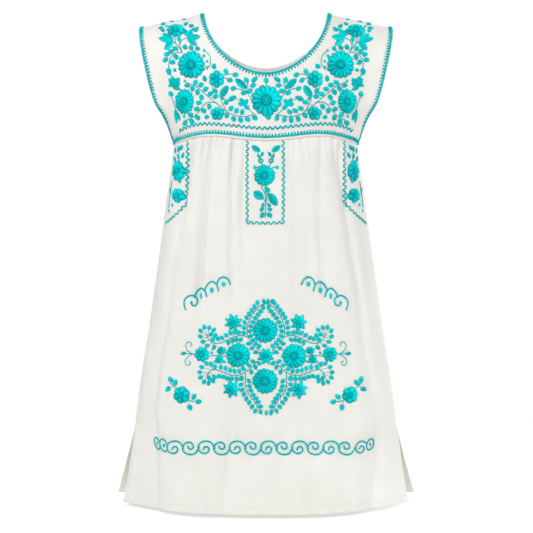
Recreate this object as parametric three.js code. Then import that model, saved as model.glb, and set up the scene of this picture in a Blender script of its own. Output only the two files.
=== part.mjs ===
// A short cotton dress, gathered under a wide yoke whose cap sleeves are cut in one with it.
// It is filled out as it is worn, and open at the neck, at both arms, at the hem and at the two side slits.
// Sizes are in millimetres: +Z is up, +X is the wearer's left, and the front faces -Y.
// The origin lies midway between the two ends of the neck hole, at the height of the shoulders.

import * as THREE from "three";

// Driving dimensions.
const wall = 1.6; // cotton cloth with its seam turnings and its embroidery
const seamGap = 0.3; // clearance between two pieces where they are sewn together
const neckHalfWidth = 116;
const frontNeckDrop = 124;
const backNeckDrop = 92;
const neckRoundness = 1.8; // 2 is an ellipse, and less is more pointed
const seamLift = 8.5; // how far the gathered seam rises between the centre and the side
const hemZ = -923;
const slitTopZ = -783;
const armholeFoot = 0.965; // below this place on the yoke its front and back are sewn together

// The yoke's sections, from the front seam (-1) over the shoulder (0) to the back seam (1).
// Each runs from the centre line, where the neck hole may have cut it away, to the sleeve's edge.
// turn is 2 for a section that rounds like an ellipse into the side, and 1 for a shallow bow.
const yokeSections = [
  { over: -1.0, centreY: -122, centreZ: -252, edgeX: 174.5, edgeY: 0, edgeZ: -249, turn: 2.0 },
  { over: -armholeFoot, centreY: -121, centreZ: -244, edgeX: 175.5, edgeY: 0, edgeZ: -241, turn: 1.95 },
  { over: -0.92, centreY: -119.5, centreZ: -232, edgeX: 177, edgeY: -12, edgeZ: -237.5, turn: 1.75 },
  { over: -0.86, centreY: -117, centreZ: -216, edgeX: 181, edgeY: -27, edgeZ: -224, turn: 1.5 },
  { over: -0.76, centreY: -113, centreZ: -190, edgeX: 191.5, edgeY: -43, edgeZ: -200, turn: 1.3 },
  { over: -0.66, centreY: -108, centreZ: -165, edgeX: 208.5, edgeY: -54, edgeZ: -173, turn: 1.18 },
  { over: -0.4, centreY: -92, centreZ: -98, edgeX: 226.5, edgeY: -59, edgeZ: -108, turn: 1 },
  { over: -0.18, centreY: -58, centreZ: -18, edgeX: 238, edgeY: -40, edgeZ: -53, turn: 1 },
  { over: 0, centreY: 0, centreZ: 25, edgeX: 241.5, edgeY: 0, edgeZ: -27.5, turn: 1 },
  { over: 0.18, centreY: 56, centreZ: -14, edgeX: 238, edgeY: 40, edgeZ: -53, turn: 1 },
  { over: 0.4, centreY: 82, centreZ: -92, edgeX: 226.5, edgeY: 57, edgeZ: -108, turn: 1 },
  { over: 0.66, centreY: 93, centreZ: -162, edgeX: 208.5, edgeY: 52, edgeZ: -173, turn: 1.18 },
  { over: 0.76, centreY: 95, centreZ: -189, edgeX: 191.5, edgeY: 41, edgeZ: -200, turn: 1.3 },
  { over: 0.86, centreY: 96.5, centreZ: -216, edgeX: 181, edgeY: 26, edgeZ: -224, turn: 1.5 },
  { over: 0.92, centreY: 97, centreZ: -232, edgeX: 177, edgeY: 12, edgeZ: -237.5, turn: 1.75 },
  { over: armholeFoot, centreY: 97.5, centreZ: -244, edgeX: 175.5, edgeY: 0, edgeZ: -241, turn: 1.95 },
  { over: 1.0, centreY: 98, centreZ: -252, edgeX: 174.5, edgeY: 0, edgeZ: -249, turn: 2.0 },
];

// The skirt's sections, from the gathered seam to the hem. The two side edges part below the slits' top.
// flat is how long the middle stays straight, and turn how it rounds into the side, as above.
const frontSections = [
  { z: -250, centreY: -122, edgeX: 174.5, edgeY: 0, flat: 2.0, turn: 2.0 },
  { z: -277, centreY: -129, edgeX: 177.5, edgeY: 0, flat: 2.0, turn: 2.0 },
  { z: -353, centreY: -136, edgeX: 188, edgeY: 0, flat: 2.1, turn: 1.9 },
  { z: -467, centreY: -143, edgeX: 203.5, edgeY: -1, flat: 2.3, turn: 1.8 },
  { z: -581, centreY: -149, edgeX: 219.5, edgeY: -3, flat: 2.5, turn: 1.6 },
  { z: -695, centreY: -157, edgeX: 237.5, edgeY: -5, flat: 2.8, turn: 1.4 },
  { z: slitTopZ, centreY: -162, edgeX: 249, edgeY: -7, flat: 3.1, turn: 1.2 },
  { z: -850, centreY: -166, edgeX: 257.5, edgeY: -13, flat: 3.3, turn: 1.1 },
  { z: hemZ, centreY: -170, edgeX: 268, edgeY: -20, flat: 3.2, turn: 1.0 },
];
const backSections = [
  { z: -250, centreY: 98, edgeX: 174.5, edgeY: 0, flat: 2.0, turn: 2.0 },
  { z: -277, centreY: 104, edgeX: 177.5, edgeY: 0, flat: 2.0, turn: 2.0 },
  { z: -353, centreY: 110, edgeX: 188, edgeY: 0, flat: 2.1, turn: 1.95 },
  { z: -467, centreY: 121, edgeX: 203.5, edgeY: -1, flat: 2.2, turn: 1.9 },
  { z: -581, centreY: 132, edgeX: 219.5, edgeY: -3, flat: 2.4, turn: 1.8 },
  { z: -695, centreY: 143, edgeX: 237.5, edgeY: -5, flat: 2.6, turn: 1.7 },
  { z: slitTopZ, centreY: 151, edgeX: 249, edgeY: -7, flat: 2.8, turn: 1.6 },
  { z: -850, centreY: 158, edgeX: 268.5, edgeY: 30, flat: 3.0, turn: 1.4 },
  { z: hemZ, centreY: 165, edgeX: 291, edgeY: 65, flat: 3.2, turn: 1.2 },
];

// The largest folds. at is the share of the half width where the fold lies at its top, middle and foot.
// A fold with depth above 0 is a trough, and below 0 a ridge. width is a trough's reach to either side.
const frontFolds = [
  { at: [-0.72, -0.9, -0.66], fromZ: -340, toZ: -970, width: 34, depth: 9 },
  { at: [-0.6, -0.59, -0.57], fromZ: -235, toZ: -640, width: 22, depth: 6 },
  { at: [-0.37, -0.3, -0.22], fromZ: -235, toZ: -560, width: 20, depth: 5 },
  { at: [-0.33, -0.32, -0.29], fromZ: -680, toZ: -1000, width: 40, depth: 6 },
  { at: [0.2, 0.2, 0.22], fromZ: -280, toZ: -620, width: 20, depth: 5 },
  { at: [0.5, 0.455, 0.47], fromZ: -235, toZ: -600, width: 22, depth: 6 },
  { at: [0.62, 0.83, 0.93], fromZ: -260, toZ: -760, width: 28, depth: 8 },
  { at: [0.31, 0.3, 0.3], fromZ: -740, toZ: -1000, width: 38, depth: 5 },
  { at: [0.93, 0.8, 0.66], fromZ: -640, toZ: -1000, width: 34, depth: 7 },
];
const backFolds = [
  { at: [-0.9, -0.93, -0.86], fromZ: -640, toZ: -1000, width: 34, depth: -5 },
  { at: [-0.72, -0.78, -0.7], fromZ: -235, toZ: -900, width: 30, depth: 7 },
  { at: [-0.44, -0.46, -0.5], fromZ: -235, toZ: -760, width: 24, depth: 6 },
  { at: [-0.2, -0.18, -0.15], fromZ: -235, toZ: -620, width: 22, depth: 5 },
  { at: [-0.24, -0.27, -0.3], fromZ: -620, toZ: -990, width: 40, depth: 6 },
  { at: [0.14, 0.17, 0.2], fromZ: -235, toZ: -680, width: 24, depth: 5 },
  { at: [0.4, 0.43, 0.42], fromZ: -235, toZ: -900, width: 28, depth: 7 },
  { at: [0.7, 0.74, 0.66], fromZ: -235, toZ: -820, width: 30, depth: 6 },
  { at: [0.9, 0.93, 0.86], fromZ: -640, toZ: -1000, width: 34, depth: -5 },
];

// How finely the cloth is divided.
const yokeLines = { seam: 13, sleeve: 15, across: 7 };
const skirtRows = [0, 10, 28, 62, 104, 158, 222, 296, 372, 450, 533, 600, 673];
const skirtColumns = { front: 52, back: 42 };

// The value of a column at a place between the rows of a table, as a smooth curve that never overshoots.
function smoothColumn(rows, key, column, place) {
  const direction = rows[1][key] > rows[0][key] ? 1 : -1;
  const last = rows.length - 2;
  let i = 0;
  while (i < last && direction * (place - rows[i + 1][key]) > 0) i += 1;
  const span = (k) => rows[k + 1][key] - rows[k][key];
  const slope = (k) => (rows[k + 1][column] - rows[k][column]) / span(k);
  const tangent = (k) => {
    if (k === 0) return slope(0);
    if (k === last + 1) return slope(last);
    const before = slope(k - 1);
    const after = slope(k);
    if (before * after <= 0) return 0;
    const weightBefore = 2 * span(k) + span(k - 1);
    const weightAfter = span(k) + 2 * span(k - 1);
    return (weightBefore + weightAfter) / (weightBefore / before + weightAfter / after);
  };
  const t = Math.min(1, Math.max(0, (place - rows[i][key]) / span(i)));
  const left = 1 - t;
  const ends = rows[i][column] * (1 + 2 * t) * left ** 2 + rows[i + 1][column] * (1 + 2 * left) * t ** 2;
  return ends + (tangent(i) * left - tangent(i + 1) * t) * t * left * span(i);
}

// A share of the half width, spaced around a section as evenly as the section is round.
const spacedShare = (t, round) => round * Math.sin((t * Math.PI) / 2) + (1 - round) * t;

// How much of the centre's depth a section keeps at a share of its half width.
const bow = (share, flat, turn) => Math.max(0, 1 - Math.abs(share) ** flat) ** (1 / turn);

const smoothStep = (x) => {
  const t = Math.min(1, Math.max(0, x));
  return t * t * (3 - 2 * t);
};

// A point of the yoke: share runs from -1 at the right sleeve's edge to 1 at the left, over as in the table.
function yokePoint(share, over) {
  const at = (column) => smoothColumn(yokeSections, "over", column, over);
  const kept = bow(share, 2, at("turn"));
  const straight = 1 - Math.abs(share);
  const lift = seamLift * Math.sin(Math.PI * Math.abs(share) ** 1.4) ** 1.5;
  const lifted = lift * smoothStep((Math.abs(over) - 0.72) / 0.28);
  return new THREE.Vector3(
    share * at("edgeX"),
    at("edgeY") + (at("centreY") - at("edgeY")) * kept,
    at("edgeZ") + (at("centreZ") - at("edgeZ")) * straight + lifted,
  );
}

// Where the neck hole's edge lies on the yoke, at an angle from the centre front (0) to the centre back (pi).
function neckPlace(angle) {
  const x = neckHalfWidth * Math.sin(angle) ** (2 / neckRoundness);
  const side = Math.cos(angle) > 0 ? -1 : 1;
  const drop = side < 0 ? frontNeckDrop : backNeckDrop;
  const z = -drop * Math.abs(Math.cos(angle)) ** (2 / neckRoundness);
  let near = 0;
  let far = 1;
  for (let i = 0; i < 40; i += 1) {
    const middle = (near + far) / 2;
    const share = x / smoothColumn(yokeSections, "over", "edgeX", side * middle);
    if (yokePoint(share, side * middle).z > z) near = middle;
    else far = middle;
  }
  return { share: x / smoothColumn(yokeSections, "over", "edgeX", side * near), over: side * near };
}

// A fold's depth at a share of the half width and a height.
function foldDepth(folds, share, z, halfWidth) {
  let depth = 0;
  for (const fold of folds) {
    const along = (fold.fromZ - z) / (fold.fromZ - fold.toZ);
    if (along <= 0 || along >= 1) continue;
    const [top, middle, foot] = fold.at;
    const upper = (1 - along) * (1 - 2 * along) * top;
    const at = upper + 4 * along * (1 - along) * middle + along * (2 * along - 1) * foot;
    const away = ((share - at) * halfWidth) / fold.width;
    const fade = smoothStep(along / 0.25) * smoothStep((1 - along) / 0.3);
    depth += fold.depth * fade * Math.exp(-away * away);
  }
  return depth;
}

// A point of the front or back of the skirt: down is the distance below the gathered seam at the centre.
function skirtPoint(sections, folds, share, down) {
  const side = Math.sign(sections[0].centreY);
  const top = yokePoint(share, side);
  const topCentre = yokePoint(0, side);
  const skirtTop = topCentre.z - seamGap;
  const level = skirtTop - (skirtTop - hemZ) * (down / skirtRows[skirtRows.length - 1]);
  const at = (column) => smoothColumn(sections, "z", column, level);
  const kept = bow(share, at("flat"), at("turn"));
  const x = share * at("edgeX");
  const y = at("edgeY") + (at("centreY") - at("edgeY")) * kept;
  const followsSeam = 1 - smoothStep(down / 110);
  const point = new THREE.Vector3(x, y, level + (top.z - topCentre.z) * followsSeam);
  const inSeam = smoothStep(down / 26);
  point.lerp(new THREE.Vector3(top.x, top.y, point.z), 1 - inSeam);
  const clearOfSide = smoothStep((1 - Math.abs(share)) / 0.06);
  const depth = foldDepth(folds, share, point.z, at("edgeX")) * inSeam * clearOfSide;
  const outward = new THREE.Vector3(x / at("edgeX") ** 2, y / Math.abs(at("centreY")) ** 2, 0).normalize();
  return point.addScaledVector(outward, -depth);
}

// A closed wall on a grid of points, rows by columns. The grid's right-hand side is the wall's outside.
// straighten changes the outward direction at the edges, so that two sewn edges face each other squarely.
function clothWall(grid, around, straighten) {
  const rows = grid.length;
  const columns = grid[0].length;
  const wrap = (j) => (around ? (j + columns) % columns : Math.min(columns - 1, Math.max(0, j)));
  const clamp = (i) => Math.min(rows - 1, Math.max(0, i));
  const positions = [];
  const inside = [];
  grid.forEach((row, i) =>
    row.forEach((point, j) => {
      const down = new THREE.Vector3().subVectors(grid[clamp(i + 1)][j], grid[clamp(i - 1)][j]);
      const across = new THREE.Vector3().subVectors(row[wrap(j + 1)], row[wrap(j - 1)]);
      const outward = new THREE.Vector3().crossVectors(down, across).normalize();
      straighten(outward, i, j);
      positions.push(point.x, point.y, point.z);
      inside.push(point.x - wall * outward.x, point.y - wall * outward.y, point.z - wall * outward.z);
    }),
  );
  const count = rows * columns;
  positions.push(...inside);
  const index = [];
  const quad = (a, b, c, d) => index.push(a, b, c, a, c, d);
  const at = (i, j) => i * columns + wrap(j);
  const last = around ? columns : columns - 1;
  for (let i = 0; i < rows - 1; i += 1)
    for (let j = 0; j < last; j += 1) {
      const [a, b, c, d] = [at(i, j), at(i + 1, j), at(i + 1, j + 1), at(i, j + 1)];
      quad(a, b, c, d);
      quad(count + d, count + c, count + b, count + a);
    }
  const rim = (a, b) => quad(a, b, count + b, count + a);
  for (let j = 0; j < last; j += 1) {
    rim(at(0, j), at(0, j + 1));
    rim(at(rows - 1, j + 1), at(rows - 1, j));
  }
  if (!around)
    for (let i = 0; i < rows - 1; i += 1) {
      rim(at(i + 1, 0), at(i, 0));
      rim(at(i, columns - 1), at(i + 1, columns - 1));
    }
  const geometry = new THREE.BufferGeometry();
  geometry.setAttribute("position", new THREE.Float32BufferAttribute(positions, 3));
  geometry.setIndex(index);
  geometry.computeVertexNormals();
  return geometry;
}

// The yoke is a ring of lines from the neck hole's edge to the seam or the sleeve's edge.
function yokeGeometry() {
  const cornerAngle = THREE.MathUtils.degToRad(64);
  const quarter = [];
  for (let i = 0; i <= yokeLines.seam; i += 1) {
    const t = i / yokeLines.seam;
    quarter.push({ share: spacedShare(t, 1), over: 1, angle: cornerAngle * t });
  }
  for (let i = 0; i <= yokeLines.sleeve; i += 1) {
    const over = armholeFoot * (1 - i / yokeLines.sleeve);
    quarter.push({ share: 1, over, angle: cornerAngle + (Math.PI / 2 - cornerAngle) * (1 - over) });
  }
  const half = [
    ...quarter.map((line) => ({ ...line, over: -line.over })),
    ...quarter
      .slice(0, -1)
      .reverse()
      .map((line) => ({ ...line, angle: Math.PI - line.angle })),
  ];
  const lines = [
    ...half.map((line) => ({ ...line, side: 1 })),
    ...half
      .slice(1, -1)
      .reverse()
      .map((line) => ({ ...line, side: -1 })),
  ];
  const isSideSeam = (line) => line.share === 1 && Math.abs(line.over) >= armholeFoot;
  const grid = [];
  for (let i = 0; i <= yokeLines.across; i += 1) {
    const out = i / yokeLines.across;
    grid.push(
      lines.map((line) => {
        const neck = neckPlace(line.angle);
        const share = neck.share + (line.share - neck.share) * out;
        const point = yokePoint(line.side * share, neck.over + (line.over - neck.over) * out);
        // The two ends under each arm are sewn together, with the seam's gap between them.
        if (out === 1 && isSideSeam(line)) point.y += (Math.sign(line.over) * seamGap) / 2;
        return point;
      }),
    );
  }
  return clothWall(grid, true, (outward, i, j) => {
    if (i < yokeLines.across) return;
    if (isSideSeam(lines[j])) outward.set(lines[j].side, 0, 0);
    else if (Math.abs(lines[j].over) === 1) outward.setZ(0).normalize();
  });
}

// One half of the skirt, front or back, from the gathered seam to the hem.
function skirtGeometry(sections, folds, columns) {
  const side = Math.sign(sections[0].centreY);
  const foot = skirtRows[skirtRows.length - 1];
  const grid = skirtRows.map((down) => {
    const round = 1 - (0.6 * down) / foot;
    const row = [];
    for (let j = 0; j <= columns; j += 1) {
      const share = -side * spacedShare((2 * j) / columns - 1, round);
      const point = skirtPoint(sections, folds, share, down);
      if (j === 0 || j === columns) point.y += (side * seamGap) / 2;
      row.push(point);
    }
    return row;
  });
  return clothWall(grid, false, (outward, i, j) => {
    const sewnSide = grid[i][j].z > slitTopZ - 1;
    if (i === 0) outward.setZ(0).normalize();
    if (sewnSide && (j === 0 || j === columns)) outward.set(Math.sign(grid[i][j].x), 0, 0);
  });
}

function cloth(name, geometry, colour) {
  const material = new THREE.MeshStandardMaterial({ color: colour, roughness: 0.9, metalness: 0 });
  const mesh = new THREE.Mesh(geometry, material);
  mesh.name = name;
  return mesh;
}

const naturalCotton = 0xf0efea;
const dress = new THREE.Group();
dress.add(cloth("yoke", yokeGeometry(), naturalCotton));
dress.add(cloth("skirt_front", skirtGeometry(frontSections, frontFolds, skirtColumns.front), naturalCotton));
dress.add(cloth("skirt_back", skirtGeometry(backSections, backFolds, skirtColumns.back), naturalCotton));

export default dress;
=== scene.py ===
import math
from functools import partial

import bpy
import numpy as np
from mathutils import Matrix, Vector
from mathutils.bvhtree import BVHTree
from mathutils.geometry import barycentric_transform


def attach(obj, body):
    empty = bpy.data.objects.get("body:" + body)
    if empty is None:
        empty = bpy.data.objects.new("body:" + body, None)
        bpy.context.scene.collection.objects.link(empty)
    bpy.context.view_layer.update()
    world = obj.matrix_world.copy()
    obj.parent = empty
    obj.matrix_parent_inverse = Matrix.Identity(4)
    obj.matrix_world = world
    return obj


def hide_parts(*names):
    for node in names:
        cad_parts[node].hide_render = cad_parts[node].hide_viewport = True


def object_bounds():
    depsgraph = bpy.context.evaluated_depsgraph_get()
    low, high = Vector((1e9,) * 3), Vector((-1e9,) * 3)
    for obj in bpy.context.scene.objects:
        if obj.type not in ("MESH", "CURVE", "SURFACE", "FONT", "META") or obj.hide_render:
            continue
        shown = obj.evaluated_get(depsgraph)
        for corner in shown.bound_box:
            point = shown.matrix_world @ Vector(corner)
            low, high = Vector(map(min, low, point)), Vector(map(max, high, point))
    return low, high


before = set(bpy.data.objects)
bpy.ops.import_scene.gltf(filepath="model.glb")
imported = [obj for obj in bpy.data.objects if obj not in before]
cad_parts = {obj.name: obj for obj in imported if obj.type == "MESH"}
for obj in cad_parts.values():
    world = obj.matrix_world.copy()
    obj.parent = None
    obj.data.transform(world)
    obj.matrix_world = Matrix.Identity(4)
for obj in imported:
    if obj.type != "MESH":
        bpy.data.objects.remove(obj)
cadLow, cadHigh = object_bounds()
drawnBox = (582.0, 334.85, 923.71)  # the size, in mm, that the tables below draw the dress at
fit = np.array([cadHigh.x - cadLow.x, cadHigh.y - cadLow.y, -cadLow.z]) / drawnBox
print("frame loaded:", sorted(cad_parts))


def toFrame(points):
    return np.asarray(points, float) * fit


def srgb(hexColour):
    parts = [int(hexColour[i:i + 2], 16) / 255 for i in (1, 3, 5)]
    return [p / 12.92 if p <= 0.04045 else ((p + 0.055) / 1.055) ** 2.4 for p in parts] + [1.0]


def feed(tree, node, inputs):
    # inputs are values, sockets or nodes, in order or by name; a node stands for its first output
    for key, value in inputs.items() if isinstance(inputs, dict) else enumerate(inputs):
        if isinstance(value, bpy.types.Node):
            value = value.outputs[0]
        if isinstance(value, bpy.types.NodeSocket):
            tree.links.new(value, node.inputs[key])
        else:
            node.inputs[key].default_value = value


def addNode(tree, kind, inputs=(), **settings):
    # the one function that adds nodes; partial ties it to the tree that is being built
    node = tree.nodes.new(kind)
    for name, value in settings.items():
        setattr(node, name, value)
    feed(tree, node, inputs)
    return node


def newMaterial(name):
    # an empty material, the two functions above tied to its tree, and its shader
    material = bpy.data.materials.new(name)
    material.use_nodes = True
    tree = material.node_tree
    return material, partial(addNode, tree), partial(feed, tree), tree.nodes["Principled BSDF"]


# Camera, light and floor

studio = {
    "distance": 2.7,  # from the camera to the plane of the shoulders
    "eyeShare": 0.4804,  # the camera's height as a share of the way up from the hem
    "aside": 0.0011,  # and how far it stands to the wearer's left
    "lens": 95.95,
    "floorGap": 0.006,  # the dress hangs this far above the floor
    "floorSize": 1.5,
    "floorGlow": 0.47,
    "aroundStrength": 0.2,
    "overheadStrength": 0.36,
    "lights": {  # place, how far above the middle of the dress it aims, width and height, and power
        "key_light": ((-0.9, -1.6, 0.95), 0.4, (0.45, 0.45), 32),
        "fill_light": ((1.9, -0.9, 0.6), 0.0, (1.0, 1.0), 12),
        "front_light": ((-0.5, -2.5, 0.3), 0.0, (1.0, 1.0), 15),
        "left_light": ((-2.0, -0.35, -0.2), 0.0, (1.2, 1.8), 6),
        "right_light": ((2.0, -0.35, -0.2), 0.0, (1.2, 1.8), 15),
        "back_light": ((1.2, 2.2, 0.8), 0.0, (1.4, 1.4), 58),
        "top_light": ((0.0, 0.0, 1.9), 0.0, (2.4, 2.4), 1.5),
    },
}
scene = bpy.context.scene
scene.view_settings.view_transform = "Standard"


def placed(name, data, place=(0, 0, 0)):
    thing = bpy.data.objects.new(name, data)
    thing.location = place
    scene.collection.objects.link(thing)
    return thing


eye = Vector((studio["aside"], -studio["distance"], cadLow.z * (1 - studio["eyeShare"])))
scene.camera = placed("camera", bpy.data.cameras.new("camera"), eye)
scene.camera.rotation_euler = (math.pi / 2, 0, 0)
scene.camera.data.lens = studio["lens"]
for name, (place, above, size, power) in studio["lights"].items():
    lamp = bpy.data.lights.new(name, "AREA")
    lamp.shape, lamp.size, lamp.size_y, lamp.energy = "RECTANGLE", size[0], size[1], power
    aim = (cadLow + cadHigh) / 2 + Vector((0, 0, above)) - Vector(place)
    placed(name, lamp, place).rotation_euler = aim.to_track_quat("-Z", "Y").to_euler()

world = bpy.data.worlds.new("studio_world")
scene.world = world
world.use_nodes = True
world.node_tree.nodes.clear()
add = partial(addNode, world.node_tree)
facing = add("ShaderNodeSeparateXYZ", (add("ShaderNodeTexCoord").outputs["Generated"],))
upward = add("ShaderNodeMapRange", {
    "Value": facing.outputs["Z"], "From Min": 0.0, "From Max": 1.0,
    "To Min": studio["aroundStrength"], "To Max": studio["overheadStrength"]})
glow, backdrop = [add("ShaderNodeBackground", (srgb("#FFFFFF"), power)) for power in (upward, 1.0)]
seen = add("ShaderNodeLightPath").outputs["Is Camera Ray"]
add("ShaderNodeOutputWorld", (add("ShaderNodeMixShader", (seen, glow, backdrop)),))

# a pale, matt painted studio floor, which glows a little so that it stays as light as the backdrop
paleFloor, add, give, shader = newMaterial("paleStudioFloor")
cloudy = add("ShaderNodeTexNoise", {
    "Vector": add("ShaderNodeTexCoord").outputs["Object"], "Scale": 3.0, "Detail": 3.0})
mixed = add("ShaderNodeMix", {"Factor": cloudy, "A": srgb("#D0D0D0"), "B": srgb("#D6D6D6")}, data_type="RGBA")
give(shader, {"Base Color": mixed.outputs["Result"], "Roughness": 0.8, "Emission Color": srgb("#FFFFFF"),
              "Emission Strength": studio["floorGlow"]})
bpy.ops.mesh.primitive_circle_add(vertices=96, radius=studio["floorSize"], fill_type="NGON",
                                  location=(0, 0, cadLow.z - studio["floorGap"]))
floor = bpy.context.object
floor.name = "studio_floor"
floor.data.materials.append(paleFloor)
print("camera, lights and floor made")


# The dress's shape. These rules and tables are the frame's own, in mm.

def smoothTable(places, values, at):
    # a smooth curve through a table, which never overshoots it
    places, values = np.array(places, float), np.array(values, float)
    step = np.diff(places)
    slope = np.diff(values) / step
    before, after = slope[:-1], slope[1:]
    heavyBefore, heavyAfter = 2 * step[1:] + step[:-1], step[1:] + 2 * step[:-1]
    same = before * after > 0
    bent = heavyBefore / np.where(same, before, 1) + heavyAfter / np.where(same, after, 1)
    inner = np.where(same, (heavyBefore + heavyAfter) / np.where(same, bent, 1), 0)
    tangent = np.concatenate([slope[:1], inner, slope[-1:]])
    at = np.asarray(at, float)
    i = np.clip(np.searchsorted(places, at, side="left") - 1, 0, len(step) - 1)
    t = np.clip((at - places[i]) / step[i], 0, 1)
    left = 1 - t
    ends = values[i] * (1 + 2 * t) * left ** 2 + values[i + 1] * (1 + 2 * left) * t ** 2
    return ends + (tangent[i] * left - tangent[i + 1] * t) * t * left * step[i]


def smoothStep(x):
    t = np.clip(x, 0, 1)
    return t * t * (3 - 2 * t)


def mound(x, middle, reach):
    # 1 at the middle, and fading out to either side
    return np.exp(-((x - middle) / reach) ** 2)


def bow(share, flat, turn):
    return np.maximum(0, 1 - np.abs(share) ** flat) ** (1 / turn)


def unit(v):
    return v / np.maximum(np.linalg.norm(v, axis=-1, keepdims=True), 1e-12)


yokeShape = {
    # over the shoulder from the front seam (-1) to the back seam (1), then the centre line's y and z,
    # the sleeve edge's x, y and z, and how round the section turns into the side
    "sections": [
        (-1.0, -122, -252, 174.5, 0, -249, 2.0),
        (-0.965, -121, -244, 175.5, 0, -241, 1.95),
        (-0.92, -119.5, -232, 177, -12, -237.5, 1.75),
        (-0.86, -117, -216, 181, -27, -224, 1.5),
        (-0.76, -113, -190, 191.5, -43, -200, 1.3),
        (-0.66, -108, -165, 208.5, -54, -173, 1.18),
        (-0.4, -92, -98, 226.5, -59, -108, 1),
        (-0.18, -58, -18, 238, -40, -53, 1),
        (0, 0, 25, 241.5, 0, -27.5, 1),
        (0.18, 56, -14, 238, 40, -53, 1),
        (0.4, 82, -92, 226.5, 57, -108, 1),
        (0.66, 93, -162, 208.5, 52, -173, 1.18),
        (0.76, 95, -189, 191.5, 41, -200, 1.3),
        (0.86, 96.5, -216, 181, 26, -224, 1.5),
        (0.92, 97, -232, 177, 12, -237.5, 1.75),
        (0.965, 97.5, -244, 175.5, 0, -241, 1.95),
        (1.0, 98, -252, 174.5, 0, -249, 2.0),
    ],
    "seamLift": 8.5,
    "neckHalfWidth": 116,
    "neckDrop": (124, 92),  # front, back
    "neckRoundness": 1.8,
    "armholeFoot": 0.965,
    "cornerAngle": math.radians(64),
    "seamLines": 70,
    "sleeveLines": 70,
    "across": 44,
    "thickness": 1.0,
}


def yokePoint(share, over):
    table = np.array(yokeShape["sections"], float).T
    centreY, centreZ, edgeX, edgeY, edgeZ, turn = [smoothTable(table[0], column, over) for column in table[1:]]
    wide = np.abs(share)
    lift = yokeShape["seamLift"] * np.maximum(np.sin(np.pi * wide ** 1.4), 0) ** 1.5
    lift = lift * smoothStep((np.abs(over) - 0.72) / 0.28)
    return np.stack([share * edgeX, edgeY + (centreY - edgeY) * bow(share, 2, turn),
                     edgeZ + (centreZ - edgeZ) * (1 - wide) + lift], axis=-1)


def neckPlace(angle):
    # where the neck hole's edge lies, from the centre front (0) to the centre back (pi)
    table = np.array(yokeShape["sections"], float).T
    power = 2 / yokeShape["neckRoundness"]
    x = yokeShape["neckHalfWidth"] * np.sin(angle) ** power
    side = np.where(np.cos(angle) > 0, -1.0, 1.0)
    drop = np.where(side < 0, yokeShape["neckDrop"][0], yokeShape["neckDrop"][1])
    z = -drop * np.abs(np.cos(angle)) ** power
    near, far = np.zeros_like(angle), np.ones_like(angle)
    for _ in range(40):
        half = (near + far) / 2
        share = x / smoothTable(table[0], table[3], side * half)
        above = yokePoint(share, side * half)[..., 2] > z
        near, far = np.where(above, half, near), np.where(above, far, half)
    return x / smoothTable(table[0], table[3], side * near), side * near


# Each skirt section is z, the centre's y, the side edge's x and y, how long its middle stays straight,
# and how it turns into the side. A fold is its top, middle and foot as shares of the half width,
# the heights that it runs between, its reach to either side, and its depth: above 0 is a trough.
frontShape = {
    "side": -1,
    "sections": [
        (-250, -122, 174.5, 0, 2.0, 2.0),
        (-277, -129, 177.5, 0, 2.0, 2.0),
        (-353, -136, 188, 0, 2.1, 1.9),
        (-467, -143, 203.5, -1, 2.3, 1.8),
        (-581, -149, 219.5, -3, 2.5, 1.6),
        (-695, -157, 237.5, -5, 2.8, 1.4),
        (-783, -162, 249, -7, 3.1, 1.2),
        (-850, -166, 257.5, -13, 3.3, 1.1),
        (-923, -170, 268, -20, 3.2, 1.0),
    ],
    "folds": [
        (-0.815, -0.805, -0.88, -140, -640, 5, 10),
        (-0.58, -0.59, -0.565, -140, -640, 7.5, 11),
        (-0.345, -0.33, -0.275, -140, -620, 6.5, 5),
        (-0.23, -0.22, -0.21, -300, -520, 7, 3),
        (0.285, 0.255, 0.24, -220, -640, 13, 8),
        (0.39, 0.37, 0.35, -300, -560, 8, 4),
        (0.67, 0.515, 0.49, -140, -640, 7, 6),
        (0.77, 0.785, 0.865, -140, -660, 7.5, 9),
        (-0.83, -0.87, -0.86, -520, -860, 12, 8),
        (0.79, 0.83, 0.83, -520, -860, 12, 7),
        (-0.92, -0.81, -0.74, -730, -1000, 26, 15),
        (0.89, 0.79, 0.71, -730, -1000, 26, 14),
        (-0.25, -0.28, -0.32, -700, -1000, 16, 6),
        (0.5, 0.53, 0.55, -740, -1000, 18, 4),
    ],
    "columns": 300,
    "thickness": 0.8,
    "seed": 11,
}
backShape = {
    "side": 1,
    "sections": [
        (-250, 98, 174.5, 0, 2.0, 2.0),
        (-277, 104, 177.5, 0, 2.0, 2.0),
        (-353, 110, 188, 0, 2.1, 1.95),
        (-467, 121, 203.5, -1, 2.2, 1.9),
        (-581, 132, 219.5, -3, 2.4, 1.8),
        (-695, 143, 237.5, -5, 2.6, 1.7),
        (-783, 151, 249, -7, 2.8, 1.6),
        (-850, 158, 268.5, 44, 2.4, 1.15),
        (-923, 165, 291, 92, 1.95, 1.0),
    ],
    "folds": [
        (-0.86, -0.88, -0.87, -640, -1000, 26, 8),
        (-0.72, -0.78, -0.7, -235, -900, 30, 7),
        (-0.44, -0.46, -0.5, -235, -760, 24, 6),
        (-0.2, -0.18, -0.15, -235, -620, 22, 5),
        (-0.24, -0.27, -0.3, -620, -990, 40, 6),
        (0.14, 0.17, 0.2, -235, -680, 24, 5),
        (0.4, 0.43, 0.42, -235, -900, 28, 7),
        (0.7, 0.74, 0.66, -235, -820, 30, 6),
        (0.86, 0.88, 0.87, -640, -1000, 26, 8),
    ],
    "columns": 280,
    "thickness": 0.8,
    "seed": 23,
}
skirtDrop = 673.0  # from the gathered seam to the hem, down the centre
skirtTop, hemZ, slitTopZ = -252.3, -923.0, -783.0


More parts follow.
